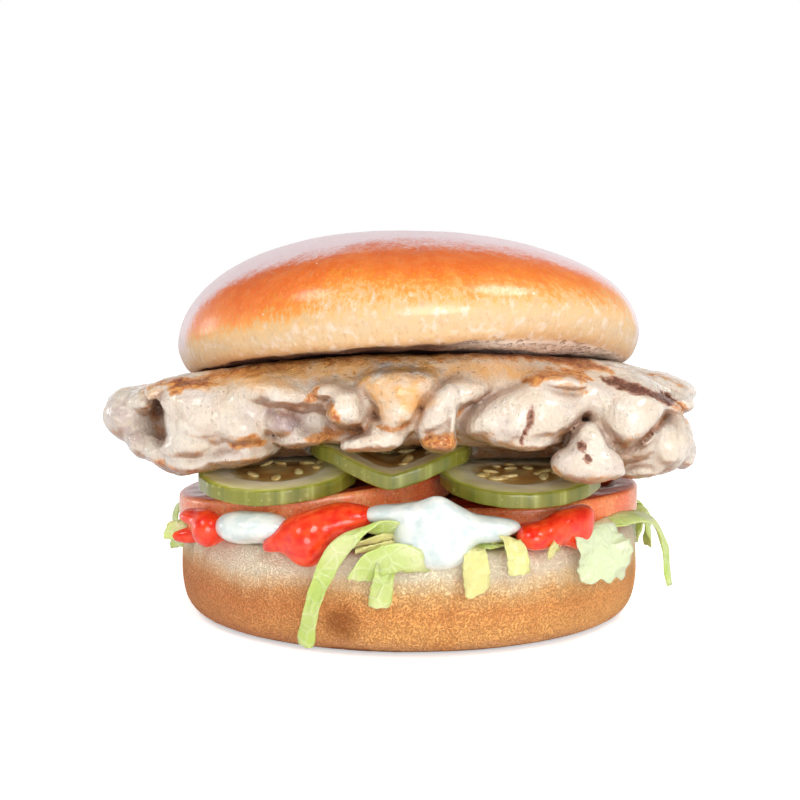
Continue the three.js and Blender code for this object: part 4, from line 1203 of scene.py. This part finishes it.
def pickle_finish(settings):
    finish = Finish("gherkin_flesh", Roughness=0.25, Coat_Weight=0.5, Coat_Roughness=0.08, IOR=1.4,
                    Subsurface_Weight=0.5, Subsurface_Scale=0.006, Subsurface_Radius=(1.0, 0.9, 0.5))
    ring = finish.value("ring")
    uneven = plus(ring, swing(noise(finish.place, 3, 3), 0.12))
    finish.colour = ramp(uneven, [
        (0.0, 216, 186, 120), (0.3, 184, 134, 66), (0.48, 202, 164, 94),
        (0.56, 232, 214, 158), (0.64, settings.flesh), (0.92, 234, 230, 168),
        (0.965, 196, 200, 96),
    ])
    streak = finish.vector("streak")
    bands = noise(scaled(streak, (7, 7, 0.5)), 1, 3)
    green = ramp(bands, [
        (0.3, 104, 112, 38), (0.55, settings.skin), (0.78, 162, 166, 84)])
    green = mix(times(finish.specks(1.6, 0.3, 0.4), 0.4), green, srgb(176, 176, 90))
    rim = finish.value("rim")
    edge = times(ease(ring, 0.93, 0.97), ease(rim, 0.6, 0.2))
    finish.paint(times(edge, 0.7), 178, 190, 60)
    return finish.done(mix(rim, finish.colour, green), noise(finish.place, 0.6, 4, 0.6), 0.0001)


def seed_finish():
    finish = Finish("gherkin_seed", Roughness=0.3, Coat_Weight=0.4, Subsurface_Weight=0.2,
                    Subsurface_Scale=0.002)
    return finish.done(mix(finish.mottle(1.5), srgb(206, 172, 98), srgb(236, 214, 150)))


# Sauces

KETCHUP = {
    "ketchup_left": [
        lobe((-44.3, -40, 25.4), (3.6, 5, 3.9)),
        lobe((-47.5, -35, 27.4), (3.8, 4.5, 1.9)),
        lobe((-49.5, -31, 22.4), (4.4, 4, 1.8)),
        lobe((-41, -34, 24.6), (5, 7, 1.8), turn=45),
    ],
    "ketchup_centre": [
        lobe((-22, -51, 25), (5.2, 7, 5.8)),
        lobe((-14.2, -48.5, 29), (7, 6.5, 3), lean=-8),
        lobe((-17, -48.5, 28.4), (5, 5.5, 3), lean=-20),
        lobe((-27.6, -48.5, 25.2), (4.8, 5, 2.2), lean=-35),
        lobe((-20, -40, 25), (9, 10, 2.2)),
    ],
    "ketchup_right": [
        lobe((26.2, -50, 25.4), (4, 4.8, 2.8)),
        lobe((31.5, -47, 26.9), (4.8, 5, 3.2), lean=-35),
        lobe((35.7, -43.2, 28), (4.4, 5, 3), lean=-30),
        lobe((36.5, -43, 24.4), (2.6, 4, 3.2)),
        lobe((30, -38, 25), (8, 9, 2)),
    ],
    "ketchup_back": [
        lobe((24, 45.5, 27), (7, 6.5, 4)),
        lobe((16, 49.5, 26), (5, 4.6, 3.2)),
        lobe((20, 40, 24.8), (7, 9, 1.8)),
    ],
}
MAYO = {
    "mayo_centre": [
        lobe((5.5, -52, 26), (7.4, 7, 6)),
        lobe((4.4, -51, 29.8), (6.4, 5.6, 3.2)),
        lobe((5.5, -52.5, 32), (2.3, 2.6, 2.2)),
        lobe((-4.8, -49.6, 30.4), (6, 5, 2), lean=-5),
        lobe((0.8, -53, 25), (4.6, 5, 3.8)),
        lobe((6.2, -54, 22.6), (5.6, 4.8, 3.2)),
        lobe((13.6, -50.5, 27.4), (6, 5.4, 2.6), lean=12),
        lobe((19.2, -48.5, 27.4), (4.6, 4.8, 1.9)),
        lobe((3, -42, 25.4), (10, 10, 2.4)),
    ],
    "mayo_left": [
        lobe((-38.2, -42, 26.3), (4.2, 6, 3.1)),
        lobe((-34, -45, 26.8), (4.6, 6, 2.9)),
        lobe((-29.6, -46.5, 27), (4, 5.5, 2.5)),
        lobe((-31, -33, 25), (7, 12, 2.2)),
    ],
    "mayo_back": [
        lobe((-16, 47.5, 27.4), (9, 6.4, 4.4)),
        lobe((-26, 43.5, 28.2), (6, 5.4, 3.4)),
        lobe((-18, 40, 25), (7, 9, 1.8)),
    ],
}


def sauce_piece(name, lobes, settings, finish):
    low = np.min([at - half.max() for at, half, _ in lobes], axis=0) - 2
    high = np.max([at + half.max() for at, half, _ in lobes], axis=0) + 2

    def field(points):
        near = blend_lobes(points, lobes, SAUCE_BLEND)
        x, y, z = np.moveaxis(points, -1, 0)
        return near + 0.22 * unevenness(x, y, z, 3.6, len(name)) + 0.06 * unevenness(x, y, z, 1.2, 3)

    cell = settings.cell
    points, faces = skin(field, low, high, cell)
    points = smoothed(points, faces, 2)
    piece = make_object(name + "_dollop", points, faces)
    piece.data.materials.append(finish)
    return piece


def ketchup_finish(settings):
    finish = Finish("red_sauce", Roughness=0.25, Coat_Weight=0.4, Coat_Roughness=0.05, IOR=1.4,
                    Subsurface_Weight=0.12, Subsurface_Scale=0.002, Subsurface_Radius=(1.0, 0.2, 0.1))
    colour = mix(finish.mottle(2.2, 0.3, 0.7), tuple(settings.red), srgb(240, 72, 30))
    return finish.done(colour, noise(finish.place, 2.2, 3, 0.5), 0.00025)


def mayo_finish(settings):
    finish = Finish("white_sauce", Roughness=0.2, Coat_Weight=0.5, Coat_Roughness=0.08, IOR=1.45,
                    Subsurface_Weight=0.3, Subsurface_Scale=0.003, Subsurface_Radius=(1.0, 0.9, 0.7))
    colour = mix(finish.mottle(3, 0.35, 0.7), tuple(settings.white), srgb(196, 208, 206))
    return finish.done(colour, noise(finish.place, 1.3, 3, 0.55), 0.00015)


# Lettuce

def leaf_mesh(route, across, width, thickness, seed, ruffle=0.8, waves=3, steps=70, rows=13,
              ragged=0.03, tone=0.0):
    """A thin ribbon along a route, both faces alike, ruffled more towards its uneven edges."""
    centre = smooth_curve(route, steps + 1)
    along = np.gradient(centre, axis=0)
    along /= np.linalg.norm(along, axis=1, keepdims=True)
    side = np.array(across, float) / np.linalg.norm(across)
    flat = side - along * (along @ side)[:, None]
    flat /= np.linalg.norm(flat, axis=1, keepdims=True)
    normal = np.cross(along, flat)
    t = np.linspace(0, 1, steps + 1)[:, None]
    u = np.linspace(-1, 1, rows)[None, :]
    reach = width * (0.5 - 0.05 * t + 0.04 * np.sin(9 * t + width))
    reach = reach * (1 + ragged * np.sin(17 * t + 3 * u + seed) * np.abs(u))
    reach = reach + 0.06 * np.sin(61 * t + seed) * u * u
    reach = reach * np.minimum(1, 0.85 + 6 * (1 - t))
    lift = ruffle * np.sin(waves * math.pi * t + 2.1 * u + width) * (0.35 + 0.65 * np.abs(u))
    lift = lift + 0.18 * ruffle * np.sin(4.3 * waves * math.pi * t + 4 * u + seed) * u * u
    middle = centre[:, None] + flat[:, None] * (u * reach)[..., None] + normal[:, None] * lift[..., None]
    end = width * np.maximum(0, t - 0.8) * (ragged * 4 * np.sin(6 * u + seed) + 0.5 * np.sin(seed) * u)
    middle = middle + along[:, None] * end[..., None]
    thin = thickness * (0.55 + 0.45 * (1 - u * u)) / 2
    faces_of = [middle + normal[:, None] * thin[..., None], middle - normal[:, None] * thin[..., None]]
    points = np.concatenate([each.reshape(-1, 3) for each in faces_of])
    half = (steps + 1) * rows
    n = np.arange(half).reshape(steps + 1, rows)
    a, b, c, d = (part.ravel() for part in (n[:-1, :-1], n[1:, :-1], n[1:, 1:], n[:-1, 1:]))
    quads = [np.stack([a, b, c, d], 1), np.stack([a, d, c, b], 1) + half]
    for edge in (n[:, 0][::-1], n[:, -1], n[0], n[-1][::-1]):
        quads.append(np.stack([edge[:-1], edge[1:], edge[1:] + half, edge[:-1] + half], 1))
    values = {
        "across": np.broadcast_to(u + 0 * t, (2, steps + 1, rows)).ravel(),
        "along": np.broadcast_to(t + 0 * u, (2, steps + 1, rows)).ravel(),
        "tone": np.full(2 * (steps + 1) * rows, tone),
    }
    return points, np.concatenate(quads), values


FRONT_LEAVES = [
    # the long shred that hangs to the foot of the bun
    dict(route=[(2, -46, 24.4), (-3, -54, 27.4), (-8, -57, 28.8), (-13, -59, 26.6), (-16.4, -59.6, 22.4),
                (-20.2, -58.8, 13.4), (-22.3, -56, 3.4)], across=(1, -0.3, 0.35), width=4.2, steps=110),
    # the folded leaf under the white sauce, and the tab that hangs from it
    dict(route=[(9, -50, 22.9), (3, -57.4, 21.6), (-3, -58.8, 22.6), (-8, -59.4, 21.4), (-11, -59.2, 18)],
         across=(0.2, -0.3, 1), width=6.6),
    dict(route=[(-1, -50, 22.9), (-4.4, -57, 22), (-5.6, -58.4, 19), (-6.6, -58, 12)],
         across=(1, 0.1, 0), width=5),
    # the square tab and the narrow one right of the white sauce
    dict(route=[(12, -46, 22.8), (13, -54.6, 24), (13.5, -57.6, 20.4), (14, -57.4, 14.6)],
         across=(1, 0.2, 0), width=5.8, tone=0.8),
    dict(route=[(18.4, -46, 22.5), (20.4, -53, 25.8), (22, -56.2, 23), (22.9, -56.4, 18.6)],
         across=(1, 0.4, 0), width=5, tone=0.7),
    # thin yellow shreds between the long shred and the folded leaf
    dict(route=[(0, -50, 25.2), (-5, -55.5, 26.4), (-10, -57.5, 25.6), (-13.5, -57, 24.4)],
         across=(0.1, -0.5, 1), width=1.7, ruffle=0.3, rows=5, tone=1.0),
    dict(route=[(0, -50, 24), (-4, -56, 25), (-8, -58, 24.6), (-11.6, -58, 23.8)],
         across=(0.1, -0.2, 1), width=1.5, ruffle=0.3, rows=5, tone=1.0),
    # the short yellow leaf under the red sauce
    dict(route=[(33, -41, 23), (31.6, -48.6, 24.2), (29.4, -53, 22.8)],
         across=(0.5, 0.6, 0.5), width=4.4, tone=0.8),
    # the crumpled leaf at the right
    dict(route=[(35, -34, 23), (39.5, -41, 25.8), (41.6, -44, 22), (42.4, -43.4, 14.6)],
         across=(0.82, 0.56, 0), width=15, ruffle=1.5, waves=4, rows=21, ragged=0.05, tone=-0.8),
    # the clear shred that curls out at the right side
    dict(route=[(36, -32, 23.4), (44, -35, 26), (50.4, -29, 26.4), (55.6, -24.4, 24), (58.6, -22, 18),
                (59.4, -22, 13), (60, -22, 9)], across=(0.2, 1, 0.3), width=4.4, ruffle=0.5),
    # the small leaf at the left
    dict(route=[(-40, -27, 22.6), (-48.6, -32, 23.4), (-54.6, -33, 24)], across=(0.1, -0.3, 1), width=4.4),
]


def back_leaves():
    """The leaves round the sides and back, at uneven steps."""
    leaves = []
    for n in range(11):
        angle = math.radians(-8 + 21 * n + 5 * math.sin(4.1 * n))
        drop = 4.5 + 4 * math.sin(2.3 * n + 1) ** 2 + (5 if n % 4 == 1 else 0) - (2.5 if n == 10 else 0)
        c, s = math.cos(angle), math.sin(angle)
        route = [(c * r, s * r, z) for r, z in ((43, 22.9), (51.5, 23.7), (57, 23.1), (57.6, 23 - drop))]
        leaves.append(dict(route=route, across=(-s, c, 0.2 * math.sin(3 * n)),
                           width=6.5 + 3.5 * math.sin(1.9 * n), ruffle=0.9))
    return leaves


def lettuce_piece(settings, finish):
    """The bed, the leaves that hang out of it and the small shreds on it, as one piece."""
    rings = smooth_curve([[0, 0], [26, 0], [38, 0], [50, 0]], 40)
    edge = smooth_curve([[50, 0], [51, 0.5], [50, 1]], 5)[1:-1]
    profile = np.concatenate([rings, edge, rings[::-1] + (0, 1)])
    points, faces = revolve(profile, 200)
    x, y, z = points.T
    flare = 1 + 0.035 * unevenness(x, y, 0, 6, 5) + 0.02 * unevenness(x, y, 0, 2.2, 1)
    radius = np.hypot(x, y)
    x, y = x * flare, y * flare
    bottom = np.maximum(heel_top(radius * flare), heel_top(radius)) + 0.3
    heap = 1.2 + 3.0 * smoothstep(-24, 4, y)
    under = np.full(x.shape, 40.0)
    for _, at, size, top, _ in TOMATOES:
        near = np.hypot(x - at[0], y - at[1]) < size + 2
        under = np.where(near, np.minimum(under, top(x, y) - TOMATO_THICKNESS - 0.6), under)
    top = np.minimum(heel_top(radius) + heap + 0.5 * unevenness(x, y, 0, 2.6, 2), under)
    points = np.stack([x, y, bottom + z * np.maximum(0.4, top - bottom)], axis=1)
    rim = smoothstep(34, 44, radius) * (z > 0.3)
    bed = make_object("lettuce_heap", points, faces, {
        "seeded": rim, "across": unevenness(x, y, 0, 5, 1), "along": 0.3 + 0 * x, "tone": 0 * x})
    bed.data.materials.append(finish)
    shred_points, shred_faces, values = leaf_mesh(
        [(-6, 0, 0.4), (-2, 1.2, 1.2), (2.5, 0.4, 0.9), (6.5, -1.5, 0.2)], (0, 1, 0.2), 3.2,
        settings.thickness, 1.0, ruffle=0.5, steps=16, rows=4)
    shred = make_object("shred", shred_points, shred_faces, values)
    apply_nodes(bed, "Scatter", Thing=shred, Density=settings.shreds, Spacing=SHRED_SPACING,
                Seed=SHRED_DRAW, Smallest=0.5, Tip=0.35, Material=finish)
    bpy.data.objects.remove(shred)
    leaves = []
    for n, leaf in enumerate(FRONT_LEAVES + back_leaves()):
        points, faces, values = leaf_mesh(thickness=settings.thickness, seed=1.7 * n, **leaf)
        made = make_object(f"leaf_{n}", points, faces, values)
        made.data.materials.append(finish)
        leaves.append(made)
    with bpy.context.temp_override(active_object=bed, selected_editable_objects=[bed] + leaves):
        bpy.ops.object.join()
    return bed


def lettuce_finish(settings):
    finish = Finish("lettuce_leaf", Roughness=0.3, Coat_Weight=0.3, Coat_Roughness=0.12, IOR=1.4,
                    Subsurface_Weight=0.35, Subsurface_Scale=0.002, Subsurface_Radius=(0.8, 1.0, 0.4))
    along = finish.value("along")
    across = finish.value("across")
    broad = noise(finish.place, 9, 2)
    shade = plus(times(along, 0.35), ease(broad, 0.3, 0.7))
    shade = calc("MULTIPLY", shade, 0.7, clamp=True)
    finish.colour = mix(shade, tuple(settings.pale), tuple(settings.green))
    edge = ease(calc("ABSOLUTE", across), 0.75, 1.0)
    finish.colour = mix(times(edge, 0.4), finish.colour, tuple(settings.green))
    net = put(finish.tree, "ShaderNodeTexVoronoi", {"Vector": finish.place, "Scale": 0.3},
              feature="DISTANCE_TO_EDGE")
    veins = ease(net.outputs["Distance"], 0.12, 0.0)
    finish.paint(times(veins, 0.2), 236, 238, 206)
    tone = finish.value("tone")
    finish.paint(calc("MAXIMUM", tone, 0.0), 216, 208, 138)
    finish.paint(calc("MAXIMUM", times(tone, -1.0), 0.0), 206, 218, 184)
    return finish.done(finish.colour, plus(noise(finish.place, 0.9, 3), times(veins, 0.5)), 0.0002)


# Stage

def area_light(name, at, size, power):
    light = bpy.data.lights.new(name, "AREA")
    light.shape = "DISK"
    light.size = size * MM
    light.energy = power
    lamp = bpy.data.objects.new(name, light)
    lamp.location = Vector(at) * MM
    aim = Vector(LIGHTS_AIM) * MM - lamp.location
    lamp.rotation_euler = aim.to_track_quat("-Z", "Y").to_euler()
    bpy.context.scene.collection.objects.link(lamp)


def stage(settings):
    scene = bpy.context.scene
    corners = [(a * FLOOR_REACH, b * FLOOR_REACH, -0.05) for a, b in ((-1, -1), (1, -1), (1, 1), (-1, 1))]
    floor = make_object("floor", corners, [(0, 1, 2, 3)])
    finish = Finish("pale_floor", Roughness=0.8, Specular_IOR_Level=0.2)
    tone = mix(finish.mottle(400), srgb(250, 250, 250), srgb(252, 252, 252))
    finish.set("Emission Color", tone)
    seen = put(finish.tree, "ShaderNodeLightPath").outputs["Is Camera Ray"]
    finish.set("Emission Strength", times(seen, settings.floor))
    floor.data.materials.append(finish.done(tone))
    world = bpy.data.worlds.new("white_surroundings")
    world.use_nodes = True
    background = world.node_tree.nodes["Background"]
    background.inputs["Color"].default_value = (1, 1, 1, 1)
    tree = world.node_tree
    path = put(tree, "ShaderNodeLightPath")
    looked_at = put(tree, "ShaderNodeTexCoord").outputs["Generated"]
    up = put(tree, "ShaderNodeSeparateXYZ", {0: looked_at}).outputs[2]
    extra = minus(ease(up, 0.1, 0.5, 1.0, 0.15), settings.sky)
    mirrored = times(path.outputs["Is Glossy Ray"], extra)
    strength = plus(mirrored, settings.sky)
    strength = calc("MAXIMUM", path.outputs["Is Camera Ray"], strength)
    tree.links.new(strength, background.inputs["Strength"])
    scene.world = world
    for name, (at, size) in LIGHTS.items():
        area_light(name, at, size, getattr(settings, name))
    scene.view_settings.view_transform = "Standard"
    camera = bpy.data.cameras.new("camera")
    camera.lens = VIEW_LENS
    camera.sensor_width = SENSOR
    camera.clip_start = 0.01
    eye = bpy.data.objects.new("camera", camera)
    target = Vector(VIEW_TARGET)
    offset = Vector((0, -math.cos(VIEW_RISE), math.sin(VIEW_RISE))) * VIEW_DISTANCE
    eye.location = (target + offset) * MM
    eye.rotation_euler = (-offset).to_track_quat("-Z", "Y").to_euler()
    scene.collection.objects.link(eye)
    scene.camera = eye


# Operators, one for each piece or group of like pieces

class BurgerOperator:
    bl_options = {"REGISTER", "UNDO"}

    def execute(self, context):
        self.build(context.scene)
        return {"FINISHED"}


class BURGER_OT_tools(BurgerOperator, bpy.types.Operator):
    """Make the node groups that the pieces and their finishes share"""
    bl_idname = "burger.tools"
    bl_label = "Shared node groups"

    def build(self, scene):
        mottle_group()
        speck_group()
        relief_group()
        scatter_group()


class BURGER_OT_buns(BurgerOperator, bpy.types.Operator):
    """Make the top bun and the bottom bun"""
    bl_idname = "burger.buns"
    bl_label = "Buns"

    def build(self, scene):
        crust = crust_finish(scene.burger_bun)
        crumb = crumb_finish(scene.burger_bun)
        place_piece(crown_piece(crust), crust, "crust", "bun_top")
        place_piece(heel_piece(crumb), crumb, "crumb", "bun_bottom")


class BURGER_OT_chicken(BurgerOperator, bpy.types.Operator):
    """Make the grilled chicken thigh"""
    bl_idname = "burger.chicken"
    bl_label = "Chicken"

    def build(self, scene):
        finish = meat_finish(scene.burger_meat)
        place_piece(chicken_piece(scene.burger_meat, finish), finish, "meat", "chicken")


class BURGER_OT_tomatoes(BurgerOperator, bpy.types.Operator):
    """Make the tomato slices"""
    bl_idname = "burger.tomatoes"
    bl_label = "Tomato slices"

    def build(self, scene):
        finish = tomato_finish(scene.burger_filling)
        for number, each in enumerate(TOMATOES):
            place_piece(tomato_piece(number, finish), finish, "tomato", each[0])


class BURGER_OT_pickles(BurgerOperator, bpy.types.Operator):
    """Make the gherkin slices with their seeds"""
    bl_idname = "burger.pickles"
    bl_label = "Gherkin slices"

    def build(self, scene):
        finish = pickle_finish(scene.burger_filling)
        seeds = seed_finish()
        seed = seed_shape()
        for number, each in enumerate(PICKLES):
            piece = pickle_piece(number, scene.burger_filling, finish, seeds, seed)
            place_piece(piece, finish, "gherkin", each[0])
        bpy.data.objects.remove(seed)


class BURGER_OT_sauces(BurgerOperator, bpy.types.Operator):
    """Make the dollops of red and white sauce"""
    bl_idname = "burger.sauces"
    bl_label = "Sauces"

    def build(self, scene):
        for dollops, finish, slot in ((KETCHUP, ketchup_finish(scene.burger_sauce), "ketchup"),
                                      (MAYO, mayo_finish(scene.burger_sauce), "mayo")):
            for name, lobes in dollops.items():
                place_piece(sauce_piece(name, lobes, scene.burger_sauce, finish), finish, slot, name)


class BURGER_OT_lettuce(BurgerOperator, bpy.types.Operator):
    """Make the bed of lettuce and the shreds that hang out of it"""
    bl_idname = "burger.lettuce"
    bl_label = "Lettuce"

    def build(self, scene):
        finish = lettuce_finish(scene.burger_lettuce)
        place_piece(lettuce_piece(scene.burger_lettuce, finish), finish, "lettuce", "lettuce")


class BURGER_OT_stage(BurgerOperator, bpy.types.Operator):
    """Make the pale floor, the lights and the camera"""
    bl_idname = "burger.stage"
    bl_label = "Stage"

    def build(self, scene):
        stage(scene.burger_stage)


OPERATORS = (BURGER_OT_tools, BURGER_OT_buns, BURGER_OT_chicken, BURGER_OT_tomatoes, BURGER_OT_pickles,
             BURGER_OT_sauces, BURGER_OT_lettuce, BURGER_OT_stage)
SETTINGS = {
    "burger_bun": BunSettings, "burger_meat": MeatSettings, "burger_filling": FillingSettings,
    "burger_sauce": SauceSettings, "burger_lettuce": LettuceSettings, "burger_stage": StageSettings,
}


class BURGER_PT_panel(bpy.types.Panel):
    """The burger's pieces and their settings"""
    bl_idname = "BURGER_PT_panel"
    bl_label = "Chicken burger"
    bl_space_type = "VIEW_3D"
    bl_region_type = "UI"
    bl_category = "Burger"

    def draw(self, context):
        for operator in OPERATORS:
            self.layout.operator(operator.bl_idname)
        for key, settings in SETTINGS.items():
            box = self.layout.box()
            for name in settings.__annotations__:
                box.prop(getattr(context.scene, key), name)


def register():
    for each in (*SETTINGS.values(), *OPERATORS, BURGER_PT_panel):
        bpy.utils.register_class(each)
    for key, settings in SETTINGS.items():
        setattr(bpy.types.Scene, key, bpy.props.PointerProperty(type=settings))


def unregister():
    for key in SETTINGS:
        delattr(bpy.types.Scene, key)
    for each in reversed((*SETTINGS.values(), *OPERATORS, BURGER_PT_panel)):
        bpy.utils.unregister_class(each)


def main():
    register()
    for operator in OPERATORS:
        family, name = operator.bl_idname.split(".")
        getattr(getattr(bpy.ops, family), name)()


if __name__ == "__main__":
    main()
